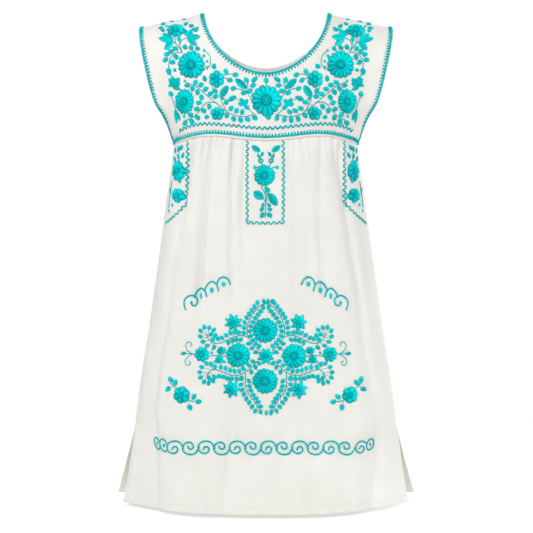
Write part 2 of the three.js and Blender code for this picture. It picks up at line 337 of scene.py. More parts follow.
def foldDepth(folds, share, z, halfWidth):
    depth = np.zeros_like(z)
    for top, mid, foot, fromZ, toZ, width, deep in folds:
        along = (fromZ - z) / (fromZ - toZ)
        at = (1 - along) * (1 - 2 * along) * top + 4 * along * (1 - along) * mid + along * (2 * along - 1) * foot
        away = (share - at) * halfWidth
        away = away / (width * (1 - 0.3 * np.sign(away)))
        fade = smoothStep(along / 0.25) * smoothStep((1 - along) / 0.3)
        depth += deep * fade * np.exp(-np.abs(away) ** 1.5) * ((along > 0) & (along < 1))
    return depth


def skirtSurface(shape, share, down):
    # the smooth skirt and its outward direction, before any fold
    z, centreY, edgeX, edgeY, flat, turn = np.array(shape["sections"], float).T
    top, topCentre = yokePoint(share, np.full_like(share, shape["side"])), yokePoint(0.0, shape["side"])
    level = skirtTop - (skirtTop - hemZ) * (down / skirtDrop)
    halfWidth = smoothTable(-z, edgeX, -level)
    atY, atEdge = smoothTable(-z, centreY, -level), smoothTable(-z, edgeY, -level)
    kept = bow(share, smoothTable(-z, flat, -level), smoothTable(-z, turn, -level))
    x, y = share * halfWidth, atEdge + (atY - atEdge) * kept
    height = level + (top[..., 2] - topCentre[2]) * (1 - smoothStep(down / 110))
    inSeam = smoothStep(down / 26)
    points = np.stack([top[..., 0] + (x - top[..., 0]) * inSeam, top[..., 1] + (y - top[..., 1]) * inSeam, height], -1)
    outward = unit(np.stack([x / halfWidth ** 2, y / np.abs(atY) ** 2, np.zeros_like(x)], -1))
    return points, outward, halfWidth


# Cotton

flatOrigin = (0.5, 0.1)  # where the pattern's centre line and foot lie in the UV map, in metres
yarnPitch = 0.9


def cottonMaterial(name, light, dark, seedPlace):
    # Natural cotton muslin in a plain weave of slightly uneven yarn: matt, a little hairy, never quite flat.
    # The real yarns are 0.45 mm apart; they are drawn 0.9 mm apart so that they show at all.
    material, add, give, shader = newMaterial(name)
    flat = add("ShaderNodeUVMap", uv_map="flat")
    mm = add("ShaderNodeVectorMath", (flat, (1000.0, 1000.0, 0.0)), operation="MULTIPLY")
    apart = add("ShaderNodeSeparateXYZ", (mm,))
    waves, slubs = [], []
    for axis, scale in (("X", (0.03, 0.75, 1.0)), ("Y", (0.8, 0.022, 1.0))):
        turned = add("ShaderNodeMath", (apart.outputs[axis], math.pi / yarnPitch), operation="MULTIPLY")
        waves.append(add("ShaderNodeMath", (turned,), operation="SINE"))
        drawnOut = add("ShaderNodeMapping", {"Vector": mm, "Scale": scale, "Location": seedPlace})
        slubs.append(add("ShaderNodeTexNoise", {"Vector": drawnOut, "Scale": 1.0, "Detail": 2.0}))
    weave = add("ShaderNodeMath", waves, operation="MULTIPLY")
    slub = add("ShaderNodeMath", slubs, operation="ADD")
    cloudy = add("ShaderNodeTexNoise", {"Vector": mm, "Scale": 0.012, "Detail": 3.0})
    shade = add("ShaderNodeMath", (slub, 0.6, cloudy), operation="MULTIPLY_ADD")
    uneven = add("ShaderNodeMapRange", {"Value": shade, "From Min": 0.75, "From Max": 1.45})
    mixed = add("ShaderNodeMix", {"Factor": uneven, "A": srgb(dark), "B": srgb(light)}, data_type="RGBA")
    colour = mixed.outputs["Result"]
    relief = add("ShaderNodeMath", (slub, 0.9, weave), operation="MULTIPLY_ADD")
    bump = add("ShaderNodeBump", {"Height": relief, "Distance": 0.00012, "Strength": 0.55})
    give(shader, {
        "Base Color": colour, "Normal": bump, "Roughness": 0.88, "Specular IOR Level": 0.3, "Subsurface Weight": 0.3,
        "Subsurface Scale": 0.0015, "Subsurface Radius": (1.0, 0.96, 0.9), "Sheen Weight": 0.12,
        "Sheen Roughness": 0.5})
    # some of the light goes through such thin cloth, which keeps the inside of the dress pale
    through = add("ShaderNodeBsdfTranslucent", (colour,))
    both = add("ShaderNodeMixShader", (0.25, shader, through))
    give(material.node_tree.nodes["Material Output"], (both,))
    return material


yokeCotton = cottonMaterial("wovenCottonYoke", "#EBE9E6", "#E3E2DD", (7.0, 3.0, 0.0))
skirtCotton = cottonMaterial("wovenCottonSkirt", "#EDECE7", "#E5E4DE", (31.0, 12.0, 0.0))


def spacedShare(t, roundness):
    return roundness * np.sin(t * np.pi / 2) + (1 - roundness) * t


def lengthsAlong(points, axis):
    # the length of each grid line from its start
    steps = np.linalg.norm(np.diff(points, axis=axis), axis=2)
    return np.concatenate([np.zeros_like(np.take(steps, [0], axis)), np.cumsum(steps, axis)], axis)


def gridNormals(points, around):
    # outward directions on a grid of rows by columns
    padded = np.concatenate([points[:1], points, points[-1:]])
    if around:
        across = np.roll(points, -1, 1) - np.roll(points, 1, 1)
    else:
        wide = np.concatenate([points[:, :1], points, points[:, -1:]], 1)
        across = wide[:, 2:] - wide[:, :-2]
    return unit(np.cross(padded[2:] - padded[:-2], across))


def gridQuads(rows, columns, around):
    i, j = np.meshgrid(np.arange(rows - 1), np.arange(columns if around else columns - 1), indexing="ij")
    after = (j + 1) % columns
    return np.stack([i * columns + j, (i + 1) * columns + j, (i + 1) * columns + after, i * columns + after],
                    -1).reshape(-1, 4)


def newObject(name, vertices, faces):
    mesh = bpy.data.meshes.new(name)
    mesh.from_pydata(np.asarray(vertices).tolist(), [], np.asarray(faces).tolist())
    mesh.update()
    return placed(name, mesh)


def giveFlat(mesh, flat):
    # the flat pattern of the piece, in metres, as its UV map
    corners = np.empty(len(mesh.loops), np.int32)
    mesh.loops.foreach_get("vertex_index", corners)
    layer = mesh.uv_layers.new(name="flat")
    layer.data.foreach_set("uv", np.asarray(flat, np.float32)[corners].ravel())


def clothPiece(name, points, outward, flat, thickness, around, material, rim=3.0):
    # a closed wall of cloth on a grid, and the single layer that threads are sewn on, which is a little larger
    rows, columns = points.shape[:2]
    quads, count = gridQuads(rows, columns, around), rows * columns
    inner = points - outward * thickness[..., None]
    start = np.arange(columns if around else columns - 1)
    edges = [(start, (start + 1) % columns), ((start + 1) % columns + count - columns, start + count - columns)]
    if not around:
        down = np.arange(rows - 1) * columns
        edges += [(down + columns, down), (down + columns - 1, down + 2 * columns - 1)]
    rims = [np.stack([a, b, count + b, count + a], -1) for a, b in edges]
    both = np.concatenate([quads, count + quads[:, ::-1]] + rims)
    cloth = newObject(name, toFrame(np.concatenate([points.reshape(-1, 3), inner.reshape(-1, 3)])), both)
    giveFlat(cloth.data, np.concatenate([flat.reshape(-1, 2)] * 2))
    cloth.data.shade_smooth()
    cloth.data.materials.append(material)
    wider, widerFlat = [np.concatenate([grid[:1] + reach * unit(grid[:1] - grid[2:3]), grid,
                                        grid[-1:] + reach * unit(grid[-1:] - grid[-3:-2])])
                        for grid, reach in ((points, rim), (flat, rim / 1000))]
    layer = newObject(name + "_layer", toFrame(wider.reshape(-1, 3)), gridQuads(rows + 2, columns, around))
    giveFlat(layer.data, widerFlat.reshape(-1, 2))
    wayOut = np.concatenate([outward[:1], outward, outward[-1:]])
    layer.data.attributes.new("outward", "FLOAT_VECTOR", "POINT").data.foreach_set(
        "vector", wayOut.astype(np.float32).ravel())
    layer.hide_render = True
    print(name, "made,", 2 * len(both), "triangles")
    return cloth, layer


def stroke(x, y, x0, y0, x1, y1, width, depth, skew):
    # a soft trough along a line, which fades out at its two ends
    length = math.hypot(x1 - x0, y1 - y0)
    dx, dy = (x1 - x0) / length, (y1 - y0) / length
    along = ((x - x0) * dx + (y - y0) * dy) / length
    away = (x - x0) * dy - (y - y0) * dx
    fade = smoothStep(along / 0.3 + 0.5) * smoothStep((1 - along) / 0.45 + 0.2)
    return depth * fade * mound(away, 0, width * (1 + skew * np.sign(away)))


fullTurn = 6.28  # in radians


def ripples(u, v, rng, count, across, along, depth):
    # broad uneven ripples that run mostly down the cloth
    total = np.zeros_like(u)
    for _ in range(count):
        angle, phase = rng.uniform(-0.25, 0.25), rng.uniform(0, fullTurn)
        wide, long = rng.uniform(*across), rng.uniform(*along)
        run = u * math.cos(angle) + v * math.sin(angle)
        sway = 0.6 * np.sin(v / long * fullTurn + rng.uniform(0, fullTurn))
        total += rng.uniform(0.5, 1.0) * np.sin(run / wide * fullTurn + phase + sway)
    return depth * total / math.sqrt(count)


# Skirt: each half is a gathered panel with a turned hem and turned slit edges

frontShape["gathers"] = [
    # x at the seam, x at the foot, length, reach, depth, skew
    (-137, -141, 80, 3.4, 2.2, 0.35), (-129, -134, 48, 2.6, 1.4, -0.3), (-113, -119, 66, 2.8, 1.8, 0.3),
    (-100, -106, 90, 3.6, 2.6, -0.4), (-88, -94, 60, 2.6, 1.7, 0.3), (-77, -81, 52, 2.6, 1.4, -0.3),
    (-61, -64, 110, 3.2, 2.6, 0.45), (-49, -51, 64, 2.6, 1.6, 0.2), (-39, -42, 200, 5.0, 1.4, 0.0),
    (-24, -25, 20, 2.6, 0.8, 0.0), (-6, -6, 16, 2.4, 0.7, 0.0), (13, 13, 20, 2.4, 0.8, 0.0),
    (26, 27, 18, 2.4, 0.7, 0.0), (41, 44, 90, 3.0, 1.2, -0.2), (51, 54, 58, 2.6, 1.2, 0.2),
    (64, 66, 90, 4.0, 1.6, -0.4), (76, 81, 60, 2.6, 1.2, 0.3), (101, 101, 90, 3.4, 1.3, -0.45),
    (108, 112, 60, 2.6, 1.2, 0.3), (125, 128, 90, 3.6, 2.0, -0.35), (135, 141, 60, 2.8, 1.4, 0.3),
    (156, 160, 30, 3.0, 0.8, 0.0), (-155, -159, 30, 3.0, 0.8, 0.0),
]
backRandom = np.random.default_rng(backShape["seed"])
backShape["gathers"] = [
    (x + backRandom.uniform(-3, 3), 1.09 * x, backRandom.choice([45, 60, 90, 150, 220]),
     backRandom.uniform(2.6, 4.2), backRandom.uniform(1.5, 4.2), backRandom.choice([-0.4, 0.4]))
    for x in np.arange(-154, 158, 12.5)
]
hem = {
    "turn": 13.0, "pitch": 7.5, "pucker": 0.45, "groove": 0.35, "swell": 0.25,
    "slitTurn": 8.0, "slitPitch": 8.5, "slitPucker": 0.25, "slitGroove": 0.3,
    "doubled": 0.8,  # how much thicker the turned cloth is
    "inset": 0.9,  # from the turned edge to the stitches that hold it
    "underYoke": 1.2, "sideSeam": 0.5,  # how far the cloth goes in at its seams
}
seamHalfWidth = 174.5  # of the gathered seam, seen from in front


def skirtPanel(name, shape, material):
    rng = np.random.default_rng(shape["seed"])
    down = np.concatenate([[-4, -2], np.arange(0, 30, 2.5), np.arange(30, 110, 4.4), np.arange(110, 640, 7.4),
                           np.arange(640, skirtDrop - 1, 2.2), [skirtDrop]])
    t = np.linspace(-1, 1, shape["columns"] + 1)
    roundness = np.minimum(1 - 0.6 * down / skirtDrop, 1)
    share = -shape["side"] * np.stack([spacedShare(t, r) for r in roundness])
    down = np.repeat(down[:, None], share.shape[1], 1)
    points, outward, halfWidth = skirtSurface(shape, share, down)
    u = lengthsAlong(points, 1)
    u -= u[:, shape["columns"] // 2][:, None]
    v = skirtDrop - down  # which is also how far above the hem's edge the cloth is
    z = points[..., 2]
    clearOfSide = smoothStep((1 - np.abs(share)) / 0.06)
    depth = foldDepth(shape["folds"], share, z, halfWidth)
    depth *= smoothStep(down / 26) * clearOfSide
    for seamX, footX, length, wide, deep, skew in shape["gathers"]:
        slope = (footX - seamX) / length
        line = share * seamHalfWidth - seamX - slope * down * (1 - share ** 2 * 0.3)
        fade = 1 - smoothStep((down - 0.25 * length) / (0.75 * length))
        rise = 0.35 + 0.65 * smoothStep(down / 8)
        spread = 0.85 * wide * (1 + 1.0 * np.clip(down / length, 0, 1.5))
        trough = mound(line, 0, spread * (1 + skew * np.sign(line)))
        ridge = 0.55 * mound(line, -np.sign(skew or 1) * 2.0 * spread, 1.4 * spread)
        depth += 1.7 * deep * fade * rise * (trough - ridge)
    depth += ripples(u, v, rng, 9, (55, 150), (300, 700), 0.75) * smoothStep(down / 60) * clearOfSide
    depth += ripples(u, v, rng, 10, (17, 40), (120, 260), 0.14) * smoothStep(down / 30) * clearOfSide
    fromSide = np.abs(np.abs(u) - np.abs(u[:, -1:]))
    fromSlit = fromSide + 400 * smoothStep((z - slitTopZ) / 12)
    hemPulls = np.sin(u / hem["pitch"] * fullTurn + 1.3 * np.sin(u / 23.0)) * (0.6 + 0.4 * np.sin(u / 31.0))
    depth += hem["pucker"] * hemPulls * mound(v, 6.5, 5.0)
    slitPulls = np.sin(v / hem["slitPitch"] * fullTurn + 1.1 * np.sin(v / 19.0))
    depth += hem["slitPucker"] * slitPulls * mound(fromSlit, 4.0, 3.4)
    depth += hem["groove"] * mound(v, hem["turn"], 1.3) - hem["swell"] * (v < hem["turn"])
    depth += hem["slitGroove"] * mound(fromSlit, hem["slitTurn"], 1.1)
    depth += hem["underYoke"] * (1 - smoothStep(down / 5))
    depth += hem["sideSeam"] * mound(fromSide, 0, 2.2) * (z > slitTopZ)
    points = points - outward * depth[..., None]
    turned = np.maximum(smoothStep((hem["turn"] - v) / 1.0), smoothStep((hem["slitTurn"] - fromSlit) / 1.0))
    thickness = shape["thickness"] * (1 + hem["doubled"] * turned)
    shape["sideEdges"] = np.stack([v[:, 0], u[:, 0], u[:, -1], z[:, 0]], -1)
    return clothPiece(name, points, gridNormals(points, False), np.stack([u, v], -1) / 1000 + flatOrigin, thickness,
                      False, material)


frontCloth, frontLayer = skirtPanel("skirt_front_cloth", frontShape, skirtCotton)
backCloth, backLayer = skirtPanel("skirt_back_cloth", backShape, skirtCotton)


# Yoke: one ring of cloth from the neck hole to the gathered seam and the cap sleeves

def yokeFlatTable():
    # the yoke's flat pattern: u is the length across from the centre line, v the length over the shoulder.
    # Every line over the shoulder is as long there as the one at 0.75, and gives way near the ridge.
    share, over = np.sin(np.linspace(0, math.pi / 2, 121)), np.linspace(-1, 1, 321)
    points = yokePoint(share[None, :], over[:, None] + 0 * share[None, :])
    u, v = lengthsAlong(points, 1), lengthsAlong(points, 0)
    v += (v[-1, 65] - v[-1]) * smoothStep((over[:, None] + 0.6) / 1.2)
    return share, over, u, v


flatShare, flatOver, flatU, flatV = yokeFlatTable()


def yokeFlat(share, over):
    a = (np.asarray(over) + 1) / 2 * (len(flatOver) - 1)
    b = np.arcsin(np.minimum(np.abs(share), 1)) / (math.pi / 2) * (len(flatShare) - 1)
    i, j = np.clip(a.astype(int), 0, len(flatOver) - 2), np.clip(b.astype(int), 0, len(flatShare) - 2)
    s, t = a - i, b - j
    across, along = [f[i, j] * (1 - s) * (1 - t) + f[i + 1, j] * s * (1 - t) + f[i, j + 1] * (1 - s) * t
                     + f[i + 1, j + 1] * s * t for f in (flatU, flatV)]
    return np.stack([np.sign(share) * across, along], -1)


def yokeGrid():
    seam, sleeve, corner = yokeShape["seamLines"], yokeShape["sleeveLines"], yokeShape["cornerAngle"]
    t = np.arange(seam + 1) / seam
    foot = yokeShape["armholeFoot"] * (1 - np.arange(sleeve + 1) / sleeve)
    share = np.concatenate([spacedShare(t, 1.0), np.ones(sleeve + 1)])
    over = np.concatenate([np.ones(seam + 1), foot])
    angle = np.concatenate([corner * t, corner + (math.pi / 2 - corner) * (1 - foot)])
    # up the front, over the shoulder and down the back, and the same again on the other side
    half = np.concatenate([[share, -over, angle], np.array([share, over, math.pi - angle])[:, -2::-1]], 1)
    share, over, angle = np.concatenate([half, half[:, -2:0:-1]], 1)
    side = np.concatenate([np.ones(half.shape[1]), -np.ones(half.shape[1] - 2)])
    neckShare, neckOver = neckPlace(angle)
    t = np.arange(yokeShape["across"] + 1) / yokeShape["across"]
    out = (t - 0.5 * np.sin(2 * np.pi * t) / (2 * np.pi))[:, None]
    return side * (neckShare + (share - neckShare) * out), neckOver + (over - neckOver) * out, over


gridShare, gridOver, lineOver = yokeGrid()  # lineOver: where each line over the yoke ends
yokePoints = yokePoint(gridShare, gridOver)
yokeMm = yokeFlat(gridShare, gridOver)


def trueEdge(points, flat, rows, where):
    # lays the outer rows of the pattern off at their true distances from the row inside them
    way = unit(np.roll(flat[-rows - 1], -1, 0) - np.roll(flat[-rows - 1], 1, 0))
    out = np.stack([way[:, 1], -way[:, 0]], -1)
    out *= np.sign(((flat[-rows] - flat[-rows - 1]) * out).sum(-1, keepdims=True))
    place = flat[-rows - 1]
    for i in range(-rows, 0):
        step = points[i] - points[i - 1]
        tangent = unit(np.roll(points[i - 1], -1, 0) - np.roll(points[i - 1], 1, 0))
        along = (step * tangent).sum(-1, keepdims=True)
        away = np.sqrt(np.maximum((step ** 2).sum(-1, keepdims=True) - along ** 2, 0))
        place = place + way * along + out * away
        flat[i] += (place - flat[i]) * where[:, None]


trueEdge(yokePoints, yokeMm, 5, smoothStep((0.88 - np.abs(lineOver)) / 0.1))
fromNeck = lengthsAlong(yokePoints, 0)
fromEdge = fromNeck[-1] - fromNeck
yokeRandom = np.random.default_rng(5)
yokeDepth = ripples(yokeMm[..., 0], yokeMm[..., 1], yokeRandom, 8, (40, 110), (200, 500), 0.55)
yokeDepth += ripples(yokeMm[..., 1], yokeMm[..., 0], yokeRandom, 8, (28, 60), (200, 400), 0.16)
yokeDepth *= smoothStep(fromNeck / 18) * smoothStep(fromEdge / 18)
yokeDepth += 0.5 * np.maximum(0, 1 - fromNeck / 1.6) ** 2 + 0.5 * np.maximum(0, 1 - fromEdge / 1.6) ** 2
yokeDepth -= 0.9 * mound(fromEdge, 2.4, 1.5) * (np.abs(lineOver) > 0.9999)
for side in (1, -1):
    # creases from the underarm: the flat places of their two ends, their reach, depth and skew
    for line in ((206, 100, 168, 62, 7, 2.2, 0.2), (212, 118, 176, 96, 6, 1.4, -0.2),
                 (200, 438, 166, 478, 7, 2.2, 0.2)):
        yokeDepth += stroke(side * yokeMm[..., 0], yokeMm[..., 1], *line) * smoothStep(fromEdge / 8)
yokePoints = yokePoints - gridNormals(yokePoints, True) * yokeDepth[..., None]
yokeCloth, yokeLayer = clothPiece(
    "yoke_cloth", yokePoints, gridNormals(yokePoints, True), yokeMm / 1000 + flatOrigin,
    np.full(yokePoints.shape[:2], yokeShape["thickness"]), True, yokeCotton)


# Embroidery: each thread is laid out on the flat pattern of the cloth, and Geometry Nodes gives it
# its body and sews it on. The layouts are in mm from the dress's centre line and shoulders,
# as they are seen from in front, and seenOn finds the flat place of each.

threadRandom = np.random.default_rng(7)


def clothGround(layer):
    mesh = layer.data
    mesh.calc_loop_triangles()
    flat = [None] * len(mesh.vertices)
    for loop, place in zip(mesh.loops, mesh.uv_layers["flat"].data):
        flat[loop.vertex_index] = place.uv.to_3d()
    places = [v.co.copy() for v in mesh.vertices]
    corners = [tuple(t.vertices) for t in mesh.loop_triangles]
    return {"layer": layer, "places": places, "flat": flat, "corners": corners,
            "tree": BVHTree.FromPolygons(places, corners)}


def newKit(ground, back=False):
    # what is sewn on one side of a piece of cloth: single stitches, and stems
    return {"ground": ground, "back": back, "stitches": [], "vines": []}


def seenOn(kit, x, z):
    # the flat place, in mm, of what is seen at x and z; None where the cloth's outside isn't seen
    ground = kit["ground"]
    start = Vector((eye.x, -eye.y if kit["back"] else eye.y, eye.z))
    aim = Vector(toFrame((x, 0, z))) - start
    place, normal, index, _ = ground["tree"].ray_cast(start, aim)
    if place is None or normal.dot(aim) > 0:
        return None
    corners = ground["corners"][index]
    flat = barycentric_transform(place, *[ground["places"][c] for c in corners], *[ground["flat"][c] for c in corners])
    return np.array((flat.x - flatOrigin[0], flat.y - flatOrigin[1])) * 1000


def spotOn(kit, x, z, step=5.0, mostStretch=1.7):
    # the flat place, and how steps seen across and up run on the flat cloth there
    here = seenOn(kit, x, z)
    while here is None:  # just above the shoulder: the nearest cloth is below
        z -= 1.5
        here = seenOn(kit, x, z)
    ways = []
    for dx, dz in ((step, 0), (0, step)):
        ahead, behind = seenOn(kit, x + dx, z + dz), seenOn(kit, x - dx, z - dz)
        way = (here if ahead is None else ahead) - (here if behind is None else behind)
        way /= step * ((ahead is not None) + (behind is not None))
        ways.append(way * min(1, mostStretch / np.linalg.norm(way)))
    return here, np.array(ways).T


def sew(kit, spot, starts, ends, rise, thread, shade):
    # adds stitches from starts to ends, in mm seen from a spot
    here, turn = spot
    starts, ends = np.atleast_2d(starts) @ turn.T + here, np.atleast_2d(ends) @ turn.T + here
    looks = [np.broadcast_to(value, len(starts)) for value in (rise, thread, shade)]
    kit["stitches"].append(np.column_stack([starts, ends] + looks))


# Every "thread" is a radius in mm. Real stranded cotton is about 0.5 mm across: the satin stitches are drawn
# 1.3 mm across and 1 mm apart, and the other stitches are as much too coarse, so that each one shows.
satin = {"thread": 0.62, "pitch": 1.0, "unevenness": 0.12}


def roughly(values, size=1.0):
    values = np.asarray(values, float)
    return values + size * satin["unevenness"] * threadRandom.uniform(-1, 1, values.shape)


def pad(kit, spot, across, up, rise=1.2, shade=0.6):
    # a padded oval of stitches across it, lighter along its middle and darker to its ends: painted light and shade on
    # the pad
    count = max(3, round(2 * up / satin["pitch"]))
    t = (np.arange(count) + 0.5) / count * 2 - 1
    half = across * np.sqrt(1 - (0.97 * t) ** 2)
    starts = np.stack([roughly(-half), up * t + 0.25], -1)
    ends = np.stack([roughly(half), up * t - 0.25], -1)
    sew(kit, spot, starts, ends, rise * (0.45 + 0.55 * np.sqrt(1 - t * t)), satin["thread"],
        roughly(shade + 0.25 * (1 - np.abs(t)), 0.8))


def leaf(kit, spot, base, tip, width, shade=0.5, rise=1.15, ribbed=False, lean=0.18):
    # satin stitches across a leaf, or from its middle rib outwards when it is ribbed. The tone is painted light and
    # shade: one half of a ribbed leaf is lighter than the other, and a plain leaf is darker towards its base and
    # lighter towards its tip
    base, tip = np.array(base, float), np.array(tip, float)
    length = np.linalg.norm(tip - base)
    along = (tip - base) / length
    side = np.array([-along[1], along[0]])
    count = max(4, round(length / satin["pitch"]))
    t = (np.arange(count) + 0.6) / (count + 0.1)
    half = (0.53 if ribbed else 0.62) * width * np.sin(np.pi * t ** 0.82) ** 0.58  # the ends sink into the cloth
    line = base + along * (length * t)[:, None]
    slant = along * (lean * half)[:, None]
    if ribbed:
        for way in (-1, 1):
            edge = line + way * side * roughly(half)[:, None] + slant * 1.3
            sew(kit, spot, line - slant * 0.4, edge, 0.25 + rise * half / width * 1.5, satin["thread"],
                roughly(shade + 0.12 * way))
        return
    edge = side * roughly(half)[:, None]
    sew(kit, spot, line - edge - slant, line + edge + slant, 0.3 + rise * half / width * 2, satin["thread"],
        roughly(shade + 0.25 * (t - 0.4)))


def ring(kit, spot, inner, outer, rise, shade, pitch=1.05, thread=0.5):
    count = max(8, round(2 * math.pi * outer / pitch))
    angle = np.arange(count) / count * 2 * math.pi
    way = np.stack([np.cos(angle), np.sin(angle)], -1)
    sew(kit, spot, way * inner, way * outer, rise, thread, roughly(np.full(count, shade)))


def flower(kit, x, z, across, up, petals, centre, turn=0.0, pointed=False, cut=0.2, rise=2.2):
    # petals of radial satin stitches, domed across, round a ringed and dotted middle
    across, up = 1.05 * across, 1.05 * up  # the ends of its stitches sink into the cloth
    size = (across + up) / 2
    here, matrix = spotOn(kit, x, z)
    spot = here, matrix * np.array([across / size, up / size])
    # an underlay of low, flat stitches in the deepest tone: painted shade in the groove round the middle
    under = np.arange(-1, 1, 1.15 / (0.62 * size))
    half = 0.62 * size * np.sqrt(1 - under ** 2)
    sew(kit, spot, np.stack([-half, under * 0.62 * size], -1), np.stack([half, under * 0.62 * size], -1),
        0.3, 0.66, 0.0)
    perPetal = max(5, round(2 * math.pi * size / petals / satin["pitch"]))
    offset = (np.arange(perPetal) + 0.5) / perPetal * 2 - 1
    if pointed:
        lobe = (1 - np.abs(offset)) ** 0.85
    else:
        lobe = np.maximum(0, 1 - np.abs(offset) ** 2.6) ** 0.5
    dome = np.cos(offset * math.pi / 2) ** 0.8
    for petal in range(petals):
        angle = turn + (petal + offset / 2) * 2 * math.pi / petals
        grown = roughly(1.0, 0.35)
        way = np.stack([np.cos(angle), np.sin(angle)], -1)
        inside = centre * np.where(np.arange(perPetal) % 2 == 0, 1.12, 1.3)
        rim = size * grown * (1 - cut * (1 - lobe))
        # the petals' tone is painted light and shade: lighter along each petal's middle, darker into the clefts, and
        # lighter on one side of the flower, besides random tone
        tone = 0.75 * dome + 0.22 * np.sin(angle + 0.9) + roughly(0.0, 1.2)
        sew(kit, spot, way * inside[:, None], way * roughly(rim, 2.0)[:, None], rise * (0.22 + 0.78 * dome),
            satin["thread"], roughly(tone, 0.7))
    ring(kit, spot, 0.52 * centre, centre, 1.8, 0.5)
    pad(kit, spot, 0.36 * centre, 0.36 * centre, 1.9, 0.95)


def smoothLine(points, spacing=2.5):
    # a smooth line through the points, in steps of about the spacing
    points = np.array(points, float)
    at = np.concatenate([[0], np.cumsum(np.linalg.norm(np.diff(points, axis=0), axis=1) ** 0.7)])
    slope = np.gradient(points, at, axis=0)
    fine = np.linspace(0, at[-1], max(3, int(np.linalg.norm(np.diff(points, axis=0), axis=1).sum() / spacing) + 1))
    i = np.clip(np.searchsorted(at, fine, side="right") - 1, 0, len(at) - 2)
    step = (at[i + 1] - at[i])[:, None]
    t = (fine - at[i])[:, None] / step
    return (points[i] * (1 + 2 * t) * (1 - t) ** 2 + points[i + 1] * t * t * (3 - 2 * t)
            + slope[i] * step * t * (1 - t) ** 2 - slope[i + 1] * step * t * t * (1 - t))


def drawn(kit, line):
    places = [seenOn(kit, x, z) for x, z in line]
    return np.array([p for p in places if p is not None])


def stem(kit, points, side=1):
    line = smoothLine(points) * (side, 1)
    kit["vines"].append(drawn(kit, line))
    return line


def sprig(kit, points, leaves, size=(11.2, 7.9), side=1, **look):
    # a stem with leaves on short stalks, which lean towards its end
    line = stem(kit, points, side)
    for x, z in leaves:
        middle = np.array((side * x, z))
        away = np.linalg.norm(line - middle, axis=1)
        nearest = int(np.argmin(away))
        middle = line[nearest] + unit(middle - line[nearest]) * max(away[nearest], 0.6 * size[0])
        root = line[max(0, nearest - round(0.5 * away[nearest] / 2.5))]
        heading = unit(middle - root)
        spot = spotOn(kit, *middle)
        # painted light: leaves that point upwards are a little lighter than those that point down
        leaf(kit, spot, -heading * size[0] / 2, heading * size[0] / 2, size[1], shade=0.62 + 0.08 * heading[1], **look)
        sew(kit, spot, root - middle, -heading * 0.3 * size[0], 0.35, 0.42, 0.35)


def looseLeaves(kit, rows, side=1, ribbedFrom=10, **look):
    # leaves without a stem, from the base, tip and width of each
    for base, tip, width in rows:
        base, tip = np.array(base) * (side, 1), np.array(tip) * (side, 1)
        middle = (base + tip) / 2
        leaf(kit, spotOn(kit, *middle), base - middle, tip - middle, width, ribbed=width > ribbedFrom, **look)


def dots(kit, rows, side=1, **look):
    for x, z, across, up in rows:
        pad(kit, spotOn(kit, side * x, z), across, up, **look)


def eyelet(kit, x, z, size, side):
    ring(kit, spotOn(kit, side * x, z), 0.42 * size, size, 0.9, 0.5)


# Geometry Nodes: the body of the threads, laid on the cloth

def newTree(name, inputs):
    tree = bpy.data.node_groups.new(name, "GeometryNodeTree")
    for label, kind in inputs.items():
        tree.interface.new_socket(label, in_out="INPUT", socket_type="NodeSocket" + kind)
    tree.interface.new_socket("Geometry", in_out="OUTPUT", socket_type="NodeSocketGeometry")
    return tree, partial(addNode, tree), addNode(tree, "NodeGroupInput").outputs


bodyTree, add, given = newTree("threadBodies", {
    "Curves": "Geometry", "Rise": "Float", "Thread Radius": "Float", "Shade": "Float", "Cloth": "Object",
    "Material": "Material"})
points = add("GeometryNodeResampleCurve", {"Curve": given["Curves"], "Count": 5}, mode="COUNT")
passed = add("GeometryNodeSplineParameter")
ahead = add("ShaderNodeMath", (1.0, passed), operation="SUBTRACT")
product = add("ShaderNodeMath", (passed, ahead), operation="MULTIPLY")
arch = add("ShaderNodeMath", (product, 4.0), operation="MULTIPLY")
fullness = add("ShaderNodeMath", (arch, 0.62), operation="POWER")
high = add("ShaderNodeMath", (fullness, given["Rise"]), operation="MULTIPLY")
lifted = add("GeometryNodeSetPosition", {"Geometry": points, "Offset": add("ShaderNodeCombineXYZ", {"Z": high})})
# a stitch is thinner at its ends, where it goes into the cloth, and its shade is lowered there: painted shade at the
# stitch ends
inCloth = add("ShaderNodeMath", (arch, 0.5), operation="POWER")
shadeTowardEnds = add("ShaderNodeMath", (inCloth, 1.0), operation="SUBTRACT")
paintedEndShade = add("ShaderNodeMath", (shadeTowardEnds, 0.28, given["Shade"]), operation="MULTIPLY_ADD")
kept = lifted
for label, value in (("shade", paintedEndShade), ("along", passed.outputs["Length"])):
    kept = add("GeometryNodeStoreNamedAttribute", {"Geometry": kept, "Name": label, "Value": value},
               data_type="FLOAT", domain="POINT")
taper = add("ShaderNodeMath", (inCloth, 0.45, 0.55), operation="MULTIPLY_ADD")
tubes = add("GeometryNodeCurveToMesh", {
    "Curve": kept, "Fill Caps": True,
    "Profile Curve": add("GeometryNodeCurvePrimitiveCircle", {"Resolution": 4, "Radius": 1.05}),
    "Scale": add("ShaderNodeMath", (taper, given["Thread Radius"]), operation="MULTIPLY")})
rounded = add("GeometryNodeSetShadeSmooth", {"Geometry": tubes})
cloth = add("GeometryNodeObjectInfo", {"Object": given["Cloth"]})
flatUv, outwardWay = [add("GeometryNodeInputNamedAttribute", {"Name": name}, data_type="FLOAT_VECTOR")
                      for name in ("flat", "outward")]
here = add("GeometryNodeInputPosition")
besides = [add("ShaderNodeVectorMath", (here, step), operation="ADD")
           for step in ((0.0, 0.0, 0.0), (0.00031, 0.00023, 0.0), (-0.0007, 0.0011, 0.0), (0.0013, -0.0009, 0.0))]
sampled = []
